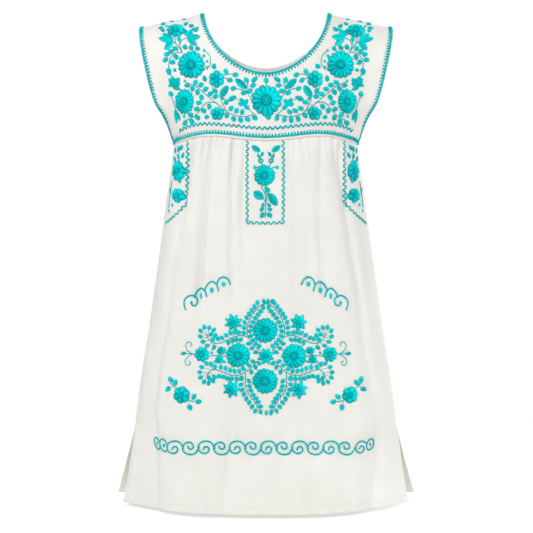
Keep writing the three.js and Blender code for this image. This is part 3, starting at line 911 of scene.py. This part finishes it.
for value in (here, outwardWay):
    # a place that falls exactly between two faces is looked up a little beside it
    chosen = None
    for uv in besides[::-1]:
        look = add("GeometryNodeSampleUVSurface", {
            "Mesh": cloth.outputs["Geometry"], "Value": value, "UV Map": flatUv, "Sample UV": uv},
            data_type="FLOAT_VECTOR")
        chosen = look if chosen is None else add("GeometryNodeSwitch", {
            "Switch": look.outputs[1], "False": chosen, "True": look}, input_type="VECTOR")
    sampled.append(chosen)
above = add("ShaderNodeSeparateXYZ", (here,)).outputs["Z"]
raised = add("ShaderNodeVectorMath", {0: sampled[1], "Scale": above}, operation="SCALE")
sewn = add("ShaderNodeVectorMath", (sampled[0], raised), operation="ADD")
laid = add("GeometryNodeSetPosition", {"Geometry": rounded, "Position": sewn})
real = add("GeometryNodeRealizeInstances", {"Geometry": laid})
painted = add("GeometryNodeSetMaterial", {"Geometry": real, "Material": given["Material"]})
add("NodeGroupOutput", (painted,))

threadTree, add, given = newTree("sewnThreads", {"Stitches": "Geometry", "Cloth": "Object", "Material": "Material"})
rise, thread, shade = [add("GeometryNodeInputNamedAttribute", {"Name": name}, data_type="FLOAT")
                       for name in ("rise", "thread", "shade")]
bodies = add("GeometryNodeGroup", node_tree=bodyTree, inputs={
    "Curves": add("GeometryNodeMeshToCurve", {"Mesh": given["Stitches"]}), "Rise": rise,
    "Thread Radius": thread, "Shade": shade, "Cloth": given["Cloth"], "Material": given["Material"]})
add("NodeGroupOutput", (bodies,))

rowTree, add, given = newTree("stitchRow", {
    "Path": "Geometry", "Cloth": "Object", "Material": "Material", "Pitch": "Float", "Stitch Length": "Float",
    "Angle": "Float", "Across": "Float", "Alternate": "Float", "Thread Radius": "Float", "Rise": "Float",
    "Unevenness": "Float", "Seed": "Int"})
path = add("GeometryNodeMeshToCurve", {"Mesh": given["Path"]})
spaced = add("GeometryNodeResampleCurve", {"Curve": path, "Length": given["Pitch"]}, mode="LENGTH")
tangent = add("GeometryNodeInputTangent")
sideways = add("ShaderNodeVectorMath", ((0.0, 0.0, 1.0), tangent), operation="CROSS_PRODUCT")
aside = add("ShaderNodeVectorMath", {0: sideways, "Scale": given["Across"]}, operation="SCALE")
moved = add("GeometryNodeSetPosition", {"Geometry": spaced, "Offset": aside})
# every second stitch swings the other way when the row alternates
parity = add("ShaderNodeMath", (add("GeometryNodeInputIndex"), 2.0), operation="MODULO")
twice = add("ShaderNodeMath", (parity, 2.0), operation="MULTIPLY")
swung = add("ShaderNodeMath", (twice, given["Alternate"]), operation="MULTIPLY")
swing = add("ShaderNodeMath", (1.0, swung), operation="SUBTRACT")
# random values, from the low input 2 to the high input 3; input 8 is the seed
chance = [add("FunctionNodeRandomValue", {2: low, 3: 1.0, 8: given["Seed"]}, data_type="FLOAT").outputs[1]
          for low in (-1.0, 0.0)]
wobble = add("ShaderNodeMath", (chance[0], given["Unevenness"]), operation="MULTIPLY")
turned = add("ShaderNodeMath", (given["Angle"], swing, wobble), operation="MULTIPLY_ADD")
facingPath = add("FunctionNodeAlignRotationToVector", {"Vector": tangent}, axis="X", pivot_axis="Z")
spin = add("FunctionNodeAxisAngleToRotation", {"Axis": (0.0, 0.0, 1.0), "Angle": turned})
facingStitch = add("FunctionNodeRotateRotation", (facingPath, spin), rotation_space="LOCAL")
oneStitch = add("GeometryNodeCurvePrimitiveLine", {"Start": (-0.5, 0.0, 0.0), "End": (0.5, 0.0, 0.0)})
longer = add("ShaderNodeMath", (1.0, wobble), operation="ADD")
longs = add("ShaderNodeMath", (given["Stitch Length"], longer), operation="MULTIPLY")
laidOut = add("GeometryNodeInstanceOnPoints", {
    "Points": moved, "Instance": oneStitch, "Rotation": facingStitch,
    "Scale": add("ShaderNodeCombineXYZ", (longs, 1.0, 1.0))})
varied = add("GeometryNodeStoreNamedAttribute", {
    "Geometry": laidOut, "Name": "tone", "Value": chance[1]}, data_type="FLOAT", domain="INSTANCE")
single = add("GeometryNodeRealizeInstances", {"Geometry": varied})
tone = add("GeometryNodeInputNamedAttribute", {"Name": "tone"}, data_type="FLOAT")
bodies = add("GeometryNodeGroup", node_tree=bodyTree, inputs={
    "Curves": single, "Rise": given["Rise"], "Thread Radius": given["Thread Radius"],
    "Shade": add("ShaderNodeMath", (tone, 0.3, 0.25), operation="MULTIPLY_ADD"),
    "Cloth": given["Cloth"], "Material": given["Material"]})
add("NodeGroupOutput", (bodies,))


def madeBy(tree, mesh, settings):
    # runs a tree on a mesh once, and keeps the plain mesh that comes out
    thing = placed("sewing", mesh)
    modifier = thing.modifiers.new("sewing", "NODES")
    modifier.node_group = tree
    for socket in tree.interface.items_tree:
        if socket.in_out == "INPUT" and socket.name in settings:
            modifier[socket.identifier] = settings[socket.name]
    made = bpy.data.meshes.new_from_object(thing.evaluated_get(bpy.context.evaluated_depsgraph_get()))
    thing.modifiers.clear()
    thing.data = made
    bpy.data.meshes.remove(mesh)
    return thing


def pathMesh(mm, edges):
    # flat places and the edges between them, as a mesh that a tree can read
    mesh = bpy.data.meshes.new("paths")
    places = np.column_stack([mm / 1000 + flatOrigin, np.zeros(len(mm))])
    mesh.from_pydata(places.tolist(), edges, [])
    return mesh


def threads(kit):
    table = np.concatenate(kit["stitches"])
    mesh = pathMesh(table[:, :4].reshape(-1, 2), np.arange(2 * len(table)).reshape(-1, 2).tolist())
    for label, column in (("rise", table[:, 4] / 1000), ("thread", table[:, 5] / 1000),
                          ("shade", np.clip(table[:, 6], 0, 1))):
        mesh.attributes.new(label, "FLOAT", "POINT").data.foreach_set("value", np.repeat(column, 2).astype(np.float32))
    return madeBy(threadTree, mesh, {"Cloth": kit["ground"]["layer"], "Material": tealThread})


def row(lines, ground, material, pitch, length, thread, rise, angle=0.0, across=0.0, alternate=0.0, unevenness=0.06):
    lines = [line for line in lines if len(line) > 1]
    ends = np.cumsum([len(line) for line in lines])
    edges = [(i, i + 1) for i in range(ends[-1] - 1) if i + 1 not in ends]
    return madeBy(rowTree, pathMesh(np.concatenate(lines), edges), {
        "Cloth": ground["layer"], "Material": material, "Pitch": pitch / 1000, "Stitch Length": length / 1000,
        "Angle": angle, "Across": across / 1000, "Alternate": alternate, "Thread Radius": thread / 1000,
        "Rise": rise / 1000, "Unevenness": unevenness, "Seed": 1})


def joined(name, things):
    # one object, and one mesh, of all the things
    with bpy.context.temp_override(active_object=things[0], object=things[0], selected_objects=things,
                                   selected_editable_objects=things):
        bpy.ops.object.join()
    things[0].name = things[0].data.name = name
    print(name, "made,", sum(len(p.vertices) - 2 for p in things[0].data.polygons), "triangles")
    return things[0]


def threadMaterial(name, deep, light, roughness):
    # Six-strand mercerised cotton: smooth and a little shiny. Its colour runs from deep to light by each stitch's
    # shade, which holds painted shade in the hollows and at the stitch ends and painted light on the domes, besides
    # random tone, and the strands' own twist is drawn as fine ridges along each stitch, one turn in 1.6 mm.
    material, add, give, shader = newMaterial(name)
    shade, along = [add("ShaderNodeAttribute", attribute_name=label).outputs["Fac"] for label in ("shade", "along")]
    place = add("ShaderNodeTexCoord").outputs["Object"]
    patchy = add("ShaderNodeTexNoise", {"Vector": place, "Scale": 90.0, "Detail": 2.0})
    mixed = add("ShaderNodeMath", (patchy, 0.3, shade), operation="MULTIPLY_ADD")
    spread = add("ShaderNodeMapRange", {"Value": mixed, "From Min": 0.12, "From Max": 1.1})
    colour = add("ShaderNodeMix", {"Factor": spread, "A": srgb(deep), "B": srgb(light)}, data_type="RGBA")
    twist = add("ShaderNodeMath", (along, 2 * math.pi / 0.0016), operation="MULTIPLY")
    ridges = add("ShaderNodeMath", (twist,), operation="SINE")
    bump = add("ShaderNodeBump", {"Height": ridges, "Distance": 0.00006, "Strength": 0.5})
    give(shader, {"Base Color": colour.outputs["Result"], "Normal": bump, "Roughness": roughness,
                  "Specular IOR Level": 0.04})
    return material


tealThread = threadMaterial("strandedCottonThread", "#00888E", "#00D6D8", 0.5)
sewingThread = threadMaterial("whiteSewingThread", "#D8D6D0", "#EFEEEA", 0.6)
yokeGround, frontGround, backGround = clothGround(yokeLayer), clothGround(frontLayer), clothGround(backLayer)


stemStitch = {"pitch": 2.5, "length": 4.4, "thread": 0.78, "rise": 0.8, "angle": 0.1}


def sewnKit(name, kit, stitched=(), **stitch):
    things = [threads(kit), row(kit["vines"], kit["ground"], tealThread, **stemStitch)]
    if len(stitched):
        things.append(row([drawn(kit, line) for line in stitched], kit["ground"], tealThread, **stitch))
    return joined(name, things)


# Yoke: flowers, stems and leaves on both sides of the centre line. The back repeats the front.

yokeFlowers = [
    # from the centre line, height, reach across and up, petals, middle, turn, pointed
    (142.3, -96, 25.2, 26.2, 15, 6.6, 0.1, False),
    (154.7, -166.6, 17.9, 23.2, 16, 5.2, 0.0, False),
    (93.6, -124.2, 15.0, 16.4, 6, 4.6, 0.52, False),
    (92.6, -189.2, 12.8, 12.8, 5, 3.6, 0.3, False),
]
yokeStems = [
    # a stem and the leaves on it
    ([(154.7, -129.3), (143, -133), (131.3, -138.8), (113.7, -153.5), (94.7, -169.5), (80, -181.2), (64, -191.4),
      (46.5, -195), (20.2, -191.5)],
     [(133.8, -130.3), (123.2, -134.7), (114, -142.5), (105.7, -152), (95, -156.6), (140, -142), (130.3, -149),
      (122.5, -159), (74.5, -167.3), (65.8, -179), (55.6, -183.4), (44.8, -185.9), (74.3, -192.9), (61.2, -199.9),
      (48, -202), (34.9, -200.2), (21, -196.8)]),
    ([(94.7, -168.8), (110.8, -168), (119.6, -175.4), (128.4, -187), (140, -197.2), (150.3, -201.6)],
     [(127.7, -168.7), (107.9, -176.3), (132, -180.5), (118.9, -183.6), (143.7, -191.4), (130.6, -196.8),
      (141.5, -203.5), (153.2, -206)]),
    ([(160, -73), (172, -75), (181, -83), (184.6, -95), (184, -106)],
     [(172.5, -65.5), (180.7, -71), (188.6, -76.7), (191.5, -87.4), (177, -92), (171, -82)]),
    ([(79, -116), (70, -114.5), (64, -114)], [(75.7, -109.8), (60, -115)]),
    ([(80, -122), (74, -123)], [(69, -125.6)]),
    ([(27.5, -163), (32, -155), (36.3, -148), (36, -138), (34, -131)],
     [(35.5, -128.5), (23.8, -135.6), (30, -146), (42.8, -150)]),
    ([(36, -148), (46, -144), (54, -142)], [(62.5, -141.5)]),
    ([(102, -138), (101, -142)], [(99, -144)]),
    ([(180, -117), (176, -124)], []),
    ([(170.8, -183), (176, -166), (179, -158)], [(180.3, -153.5)]),
    ([(33, -180.4), (24, -189)], []),
    ([(77, -181), (84, -166), (86.5, -159)], []),
    ([(54, -163), (60, -157), (68, -159), (71, -163)], []),
    ([(149, -45), (160, -51), (163.5, -59), (160, -70)], []),
    ([(177, -52), (167, -61), (160, -72)], []),
    ([(173.5, -42), (172, -54), (166, -63)], []),
    ([(165, -52), (163.5, -60)], []),
    ([(117, -70), (111, -74.5), (105.7, -84), (105.7, -95), (111.5, -105)], []),
    ([(184, -104), (180, -118), (176, -123)], []),
]
yokeLeaves = [
    # base, tip and width of leaves without a stem of their own
    ((86.7, -158.5), (72.5, -136), 13.0), ((37.5, -142), (58, -123.5), 12.5), ((116, -128.5), (117, -116.5), 7.0),
    ((101, -104), (96, -94.5), 8.0), ((27, -129), (15.5, -119.5), 7.0), ((70.5, -163.7), (56, -156.5), 8.0),
    ((116.5, -195), (107.5, -196.5), 7.0), ((144.5, -137), (155.5, -135), 6.5), ((174, -109.5), (172, -103), 5.5),
    ((185, -103), (184, -116.5), 8.5), ((172, -181), (170, -208), 5.5), ((169, -186), (163.5, -203), 5.0),
    ((143, -69), (141.8, -59), 8.0), ((129, -70), (131, -61), 8.0), ((154, -68), (154, -57.5), 8.0),
    ((172, -135), (178.5, -118), 7.0), ((171, -130), (163.5, -122), 8.0), ((176, -130), (184.5, -123), 8.0),
    ((174, -131), (186, -137), 7.5), ((177, -137), (163, -144.5), 7.0), ((170, -136), (163, -131), 6.0),
    ((84, -159), (79, -163), 4.0),
]
lilies = [
    # where the petals meet, and their tips
    ((177, -51), [(196, -37), (204, -45.5), (192, -68)], 11.5),
    ((149, -44.5), [(141.5, -29.5), (125, -43), (131.5, -60)], 11.0),
    ((41.4, -172.4), [(49.5, -160), (35, -162), (53, -170.5), (31.5, -181.5)], 8.5),
]
yokeDots = [(165, -48, 4.2, 4.8), (117.4, -69.4, 2.6, 2.4), (118, -79.6, 2.9, 3.2), (111.6, -90.3, 2.6, 2.8),
            (154.3, -127.4, 2.4, 2.4), (155.4, -194.3, 2.6, 3.2)]
shoulderLeaves = [
    ((183, -16.5), (174, -12.5), 3.2), ((199, -18), (190, -14.5), 2.8), ((199.5, -21), (190.5, -19.5), 3.6),
    ((187, -22.5), (191, -25), 3.4), ((204, -27.5), (194, -25), 5.0), ((193, -34), (200, -27.5), 6.0),
    ((159, -10), (151.5, -11), 4.0), ((156, -21.5), (148, -16), 5.5), ((146, -22), (136.5, -23.5), 6.5),
    ((154, -29), (151.5, -42), 7.0), ((136, -33), (128, -24.5), 6.5), ((141, -30.5), (133, -27.5), 4.0),
]


def yokeMotifs(kit):
    for side in (-1, 1):
        for x, z, across, up, petals, middle, turn, pointed in yokeFlowers:
            flower(kit, side * x, z, across, up, petals, middle, turn, pointed, 0.34 if petals < 9 else 0.2)
        for points, leaves in yokeStems:
            sprig(kit, points, leaves, side=side)
        looseLeaves(kit, yokeLeaves, side)
        for meeting, tips, width in lilies:
            looseLeaves(kit, [(meeting, tip, width) for tip in tips], side, 0, shade=0.75, rise=1.5)
        dots(kit, yokeDots, side)
        eyelet(kit, 112.3, -101, 2.8, side)
    flower(kit, 1.0, -163.9, 28.3, 28.3, 14, 7.8, 0.1, rise=2.1)
    dots(kit, [(0.5, -126.5, 5.2, 5.2)])
    stem(kit, [(0.6, -130), (0.8, -137)])
    looseLeaves(kit, [((4, -190), (4.5, -201.5), 9.5)])


halfZigzag = [(163, -222), (155, -217), (142, -212.5), (126, -209.5), (107, -208.7), (76, -210.8), (38, -214.8)]
yokeZigzag = smoothLine([(-x, z) for x, z in halfZigzag] + [(0, -217.3)] + halfZigzag[::-1])
zigzag = {"pitch": 4.7, "length": 8.2, "thread": 1.45, "rise": 0.9, "angle": 0.96, "alternate": 1.0}
yokeThreads = []
for back, name in ((False, "yoke_embroidery_front"), (True, "yoke_embroidery_back")):
    kit = newKit(yokeGround, back)
    yokeMotifs(kit)
    if not back:
        for side in (-1, 1):
            flower(kit, side * 171.5, -30, 16.8, 12.0, 9, 4.4, 0.3)
            looseLeaves(kit, shoulderLeaves, side)
    yokeThreads.append(sewnKit(name, kit, [yokeZigzag], **zigzag))


# Edging: blanket stitch along the neck, the sleeves and the foot of the yoke

def ringLine(distance, fromWhere):
    # the flat line at a distance, in mm, from one edge of the yoke; it may change along the edge
    rows = np.arange(yokeMm.shape[0])
    line = []
    for column in range(yokeMm.shape[1] + 1):
        column %= yokeMm.shape[1]
        away = fromWhere[:, column]
        order = np.argsort(away)
        at = np.interp(distance[column], away[order], rows[order])
        line.append([np.interp(at, rows, yokeMm[:, column, k]) for k in (0, 1)])
    return np.array(line)


edging = {
    "neckInset": 2.6, "footInset": 7.0, "sleeveCloser": 3.4,
    "ridge": {"pitch": 3.0, "length": 5.4, "thread": 1.75, "rise": 0.9, "angle": 0.1},
    "teeth": {"pitch": 5.9, "length": 5.4, "thread": 1.6, "rise": 1.0, "angle": math.pi / 2, "unevenness": 0.15},
    "teethAside": 3.2,
}
onSleeve = smoothStep((0.985 - np.abs(lineOver)) / 0.03)
neckLine = ringLine(np.full_like(lineOver, edging["neckInset"]), fromNeck)
edgeLine = ringLine(edging["footInset"] - edging["sleeveCloser"] * onSleeve, fromEdge)
rows = [row([line], yokeGround, tealThread, **edging["ridge"]) for line in (neckLine, edgeLine)]
rows += [row([line], yokeGround, tealThread, **edging["teeth"], across=way * edging["teethAside"])
         for line, way in ((neckLine, -1), (edgeLine, 1))]
yokeThreads.append(joined("yoke_edging", rows))


# Skirt front: the two kinds of plaque below the yoke

kit, bands = newKit(frontGround), []
for side in (-1, 1):
    looseLeaves(kit, [((11, -262), (27, -251), 10.5), ((13, -274), (15.5, -265), 4.0), ((8, -271), (4.5, -262), 3.6)],
                side)
    eyelet(kit, 9.8, -279, 5.4, side)
    stem(kit, [(5, -290), (9, -284), (11, -272), (8, -264)], side)
    stem(kit, [(13, -292), (19, -291.5)], side)
    dots(kit, [(21.3, -291.5, 3.6, 3.6)], side)
    looseLeaves(kit, [((8, -367), (3.5, -359), 5.5), ((11, -374), (3.5, -368), 6.0), ((3, -378), (11.5, -387), 7.5)],
                side)
flower(kit, -2.6, -307, 19.6, 19.8, 13, 5.6, 0.2, rise=2.0)
looseLeaves(kit, [((-5, -351), (-23, -338), 15.0), ((6, -341), (21, -364), 14.5), ((0, -327), (2.5, -341), 6.0),
                  ((3, -330), (7.5, -337.5), 4.0)])
for points in ([(-1.5, -324), (-1, -345), (-0.5, -365), (-1, -386)], [(-9, -327), (-4, -337), (-1, -343)],
               [(-6, -349), (-1, -357)], [(5, -341), (1, -350)], [(2.5, -341), (1, -356)]):
    stem(kit, points)
sideLeaves = [
    # base, tip and width
    ((163, -259), (158, -249), 6.0), ((167, -262), (165, -251), 5.0), ((171, -265), (172.5, -254), 4.5),
    ((160, -274), (155.5, -263), 5.0), ((171, -281), (175.5, -270), 5.0), ((165.5, -276), (168, -266), 4.0),
    ((166, -312), (163, -322), 5.5), ((166, -352), (168, -360), 6.5), ((182, -330), (180, -344), 4.0),
]
for side in (-1, 1):
    flower(kit, side * 168, -297.6, 13.5, 20.0, 9, 3.6, 0.0)
    flower(kit, side * 168.5, -344.5, 11.8, 12.8, 5, 3.0, 0.9)
    looseLeaves(kit, sideLeaves, side)
    dots(kit, [(178, -363, 2.6, 3.2), (184, -374, 2.2, 3.4)], side)
    stem(kit, [(178, -320), (181, -340), (184, -366)], side)
    stem(kit, [(164, -278), (165, -262)], side)
    bands += [smoothLine([(149, -243.5), (149.5, -300), (150, -359)]) * (side, 1),
              smoothLine([(152, -362), (171, -381), (189, -397)]) * (side, 1),
              smoothLine([(side * 34 - 1.2, -243), (side * 34.6 - 1.2, -320), (side * 34 - 1.2, -392)])]
bands.append(smoothLine([(-36, -396.5), (0, -397.5), (33.5, -396.5)]))
zigzag = {"pitch": 4.9, "length": 7.4, "thread": 1.3, "rise": 0.9, "angle": 0.9, "alternate": 1.0}
frontThreads = [sewnKit("plaque_embroidery", kit, bands, **zigzag)]


# Skirt front: the medallion

medallionFlowers = [
    # from the centre line, height, reach, petals, middle and turn
    (-1.0, -602, 23.2, 15, 6.2, 0.1), (-52.8, -649, 22.6, 14, 6.0, 0.2), (53.8, -650, 22.6, 14, 6.0, 0.0),
    (-1.0, -698, 23.6, 16, 6.6, 0.15), (-121.6, -646.8, 14.2, 8, 4.0, 0.2), (122.0, -646.8, 14.2, 8, 4.0, 0.2),
]
medallionStars = [(-62, -586.5, 8, 0.35), (62.5, -586.5, 7, 0.1), (-65.5, -713, 7, 0.0), (62.5, -714.5, 7, 0.3)]
medallionSprigs = [
    # upper garland, from the middle star to the top
    ([(13, -639), (24, -629), (31, -619), (35, -610), (35.7, -601), (34.5, -592), (31, -581.7), (26, -571),
      (17.7, -561), (9, -553), (1, -551)],
     [(16, -548), (22, -556), (26.6, -563.6), (32.5, -570), (37, -577), (40.5, -586), (42.2, -596), (42.6, -606),
      (5, -557.5), (9, -565), (14, -571.5), (19.5, -578), (24, -585.5), (28, -593.6), (29.5, -602.4), (28.5, -611.5),
      (24.5, -619.5), (19.4, -626), (12.5, -631), (33, -626.5), (27, -635.5), (20, -643)]),
    # side clusters, upper and lower, which run out from the middle star and end in a fan
    ([(34, -615), (42, -611.5), (56, -612.5), (70, -618), (82, -624), (94, -626), (104, -622.5), (110.5, -615),
      (113, -608)],
     [(117.4, -595), (108, -596), (99, -600), (124.5, -602), (125, -613), (120, -623), (112, -630.5), (104, -608.6),
      (96, -610.6), (101, -618), (92, -617), (84, -615.5), (76, -610.5), (68, -606), (60, -604.5), (52, -605),
      (72, -624), (64, -620.5), (56, -619.5), (48, -619.5)]),
    ([(18, -661), (30, -674), (42.4, -683), (55.7, -687), (68, -686), (81, -681), (92, -677), (102, -676.5),
      (109, -682), (112, -689)],
     [(113.4, -664), (104.3, -665), (97, -671), (122.5, -671), (126, -681), (124.5, -691), (118, -699.5), (109, -702),
      (100, -697.7), (108, -692.5), (98, -690), (90, -688.5), (81.7, -690), (73.5, -692.8), (86, -670.5), (77, -673),
      (68.5, -676.5), (60, -678.5), (51, -678.5), (43, -674.5), (65, -694), (56, -694), (47, -692.5), (33, -667.5),
      (25.5, -660), (27.5, -681), (19.5, -672), (13, -664)]),
    # lower garland
    ([(39, -683), (38.8, -692), (39.3, -704), (34, -719.8), (22, -736), (14.4, -749.8)],
     [(47, -694), (47.8, -704.5), (45.4, -715), (42, -723.4), (37.4, -731.6), (32, -739), (26.5, -746.8), (20.5, -755),
      (31.5, -698), (31, -707.5), (28, -715.6), (23.6, -723.6), (19, -730.6), (14.6, -737.6), (9.8, -745.8),
      (10, -756.5)]),
]
kit = newKit(frontGround)
for x, z, reach, petals, middle, turn in medallionFlowers:
    flower(kit, x, z, reach, reach, petals, middle, turn, cut=0.34 if petals < 9 else 0.2, rise=2.0)
for x, z, petals, turn in medallionStars:
    flower(kit, x, z, 17.2, 17.2, petals, 2.6, turn, True, 0.5)
flower(kit, 0, -650, 16.4, 16.4, 8, 3.0, 0.39, True, 0.42)
looseLeaves(kit, [((0.7 * x + 1, -551), (x, -541), 6.0) for x in (-5, 4.4, 13.9)])
for side in (-1, 1):
    for points, leaves in medallionSprigs:
        sprig(kit, points, leaves, (10.0, 6.6), side, lean=0.1 * side)
    looseLeaves(kit, [((102, -637), (94.5, -630), 6.5)], side)
    dots(kit, [(103, -644, 3.0, 2.6)], side)
    flower(kit, side * 84.4, -639.6, 8.6, 7.6, 4, 2.0, 0.4, cut=0.35)
    flower(kit, side * 88.7, -657, 8.2, 7.4, 4, 2.0, 0.8, cut=0.35)
    dots(kit, [(79, -661, 3.0, 2.4), (97.5, -661, 2.8, 2.2)], side)
    dots(kit, [(0.8, -758, 3.6, 4.6) if side < 0 else (9.5, -758.5, 3.6, 4.6)])
    looseLeaves(kit, [((152, -645.5), (162, -645), 6.0)], side)
    for points in ([(107, -650), (92, -649), (75, -650.6)], [(152, -645.5), (143, -646), (136, -646.5)],
                   [(141, -645.5), (150, -638), (152.3, -629.5), (148.5, -623.6), (143, -624), (140.5, -628),
                    (142.6, -631)],
                   [(141, -647.5), (150, -653.5), (153.6, -661), (150, -667.5), (145, -667), (143, -663),
                    (146, -660.5)],
                   [(98, -626), (102, -637)], [(90, -649), (86, -645)], [(92, -650), (90, -653)]):
        stem(kit, points, side)
frontThreads.append(sewnKit("medallion_embroidery", kit))


# Skirt front: scallops above the medallion, corner sprays below it, and the row of spirals above the hem

kit, curls = newKit(frontGround), []
scallops = [
    [(152.6, -561), (155.3, -552), (154, -543), (147, -536.5), (140, -535), (132.5, -539), (130, -547), (133.5, -553.5),
     (139, -554), (142, -550)],
    [(136, -537), (130, -526), (123.5, -521.4), (116.5, -525), (112.7, -536)],
    [(116.5, -525), (109, -512), (102.4, -508.7), (94, -514), (90.3, -525)],
    [(93.5, -514), (88, -503), (81, -499.8), (73, -503.5), (67.8, -513)],
]
for side in (-1, 1):
    curls += [smoothLine(arc, 1.8) * (side, 1) for arc in scallops]
    dots(kit, [(141.7, -548.5, 2.8, 2.8), (123.3, -536, 3.2, 5.3), (103, -525, 4.2, 5.1), (80.6, -513.6, 4.0, 4.8)],
         side)
    flower(kit, side * 160.5, -724, 15.2, 15.8, 6, 3.6, 0.3, cut=0.24, rise=2.0)
    for points, leaves in (([(168, -714), (175, -707), (181, -702)], [(181.5, -694.5), (172, -700), (186, -713)]),
                           ([(151, -733), (143, -736), (135, -736.5)], [(136.6, -727), (127.5, -737), (144.5, -748)])):
        sprig(kit, points, leaves, (12.0, 8.0), side)
spiral = [(0, 0), (-7, 10.5), (-17.3, 12.6), (-27, 9), (-30.6, 2.5), (-28, -6.3), (-20, -10.6), (-12.5, -8.2),
          (-10.2, -2.2), (-14, 2.2), (-19, 1.4), (-20.5, -2.2)]
for i in range(12):
    x0, way = 169 - 29.65 * i, -1 if i % 2 == 0 else 1
    curls.append(smoothLine([(x0 + x, -824.6 + way * z) for x, z in spiral], 1.8))
curls.append(smoothLine([(189.4, -815), (184, -812.2), (176, -814), (170.5, -822), (173, -832), (179, -834.4),
                         (185.4, -829), (185, -823), (180.3, -821.4), (177.4, -825)], 1.8))
for x, z, across, up in ((197.6, -818, 6.6, 10.6), (-206, -816, 5.0, 11.2), (-193.8, -819.7, 6.4, 11.8)):
    turn = np.linspace(0, 2 * math.pi, 25)
    lean = 0.25 * np.sign(x) * up * np.sin(turn)
    curls.append(np.stack([x + across * np.cos(turn) + lean, z + up * np.sin(turn)], -1))
    dots(kit, [(x, z, 2.4, 3.0)], shade=0.2)
scrollStitch = {"pitch": 2.6, "length": 4.6, "thread": 1.55, "rise": 1.0, "angle": 0.1}
frontThreads.append(sewnKit("hem_embroidery", kit, curls, **scrollStitch))


# Sewing: running stitches that hold the turned hems and slits, and the yoke's foot

hemStitch = {"pitch": 4.0, "length": 2.7, "thread": 0.24, "rise": 0.3}
yokeStitch = {"inset": 5.2, "pitch": 3.6, "length": 2.5, "thread": 0.24, "rise": 0.3}


def hemStitches(shape, ground):
    v, left, right, z = shape["sideEdges"].T
    slit = (z < slitTopZ + 4) & (v > hem["turn"] + 1)
    across = np.linspace(*[np.interp(-hem["turn"], -v, edge) for edge in (left, right)], 60)[1:-1]
    lines = [np.column_stack([across, np.full(len(across), hem["turn"] - hem["inset"])])]
    for edge, way in ((left, 1), (right, -1)):
        lines.append(np.column_stack([edge[slit] + way * (hem["slitTurn"] - hem["inset"]), v[slit]]))
    return row(lines, ground, sewingThread, **hemStitch)


hemSewing = joined("hem_sewing", [hemStitches(frontShape, frontGround), hemStitches(backShape, backGround)])
yokeLine = ringLine(np.full_like(lineOver, yokeStitch.pop("inset")), fromEdge)
yokeSewing = joined("yoke_sewing", [row([yokeLine], yokeGround, sewingThread, **yokeStitch)])


for piece, node, cotton in ((yokeCloth, "yoke", "yoke_cotton"), (frontCloth, "skirt_front", "skirt_cotton"),
                            (backCloth, "skirt_back", "skirt_cotton")):
    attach(piece, "root")
    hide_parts(node)
for piece in yokeThreads + frontThreads:
    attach(piece, "root")
for piece, cotton in ((hemSewing, "skirt_cotton"), (yokeSewing, "yoke_cotton")):
    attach(piece, "root")
for layer in (yokeLayer, frontLayer, backLayer):
    bpy.data.objects.remove(layer)
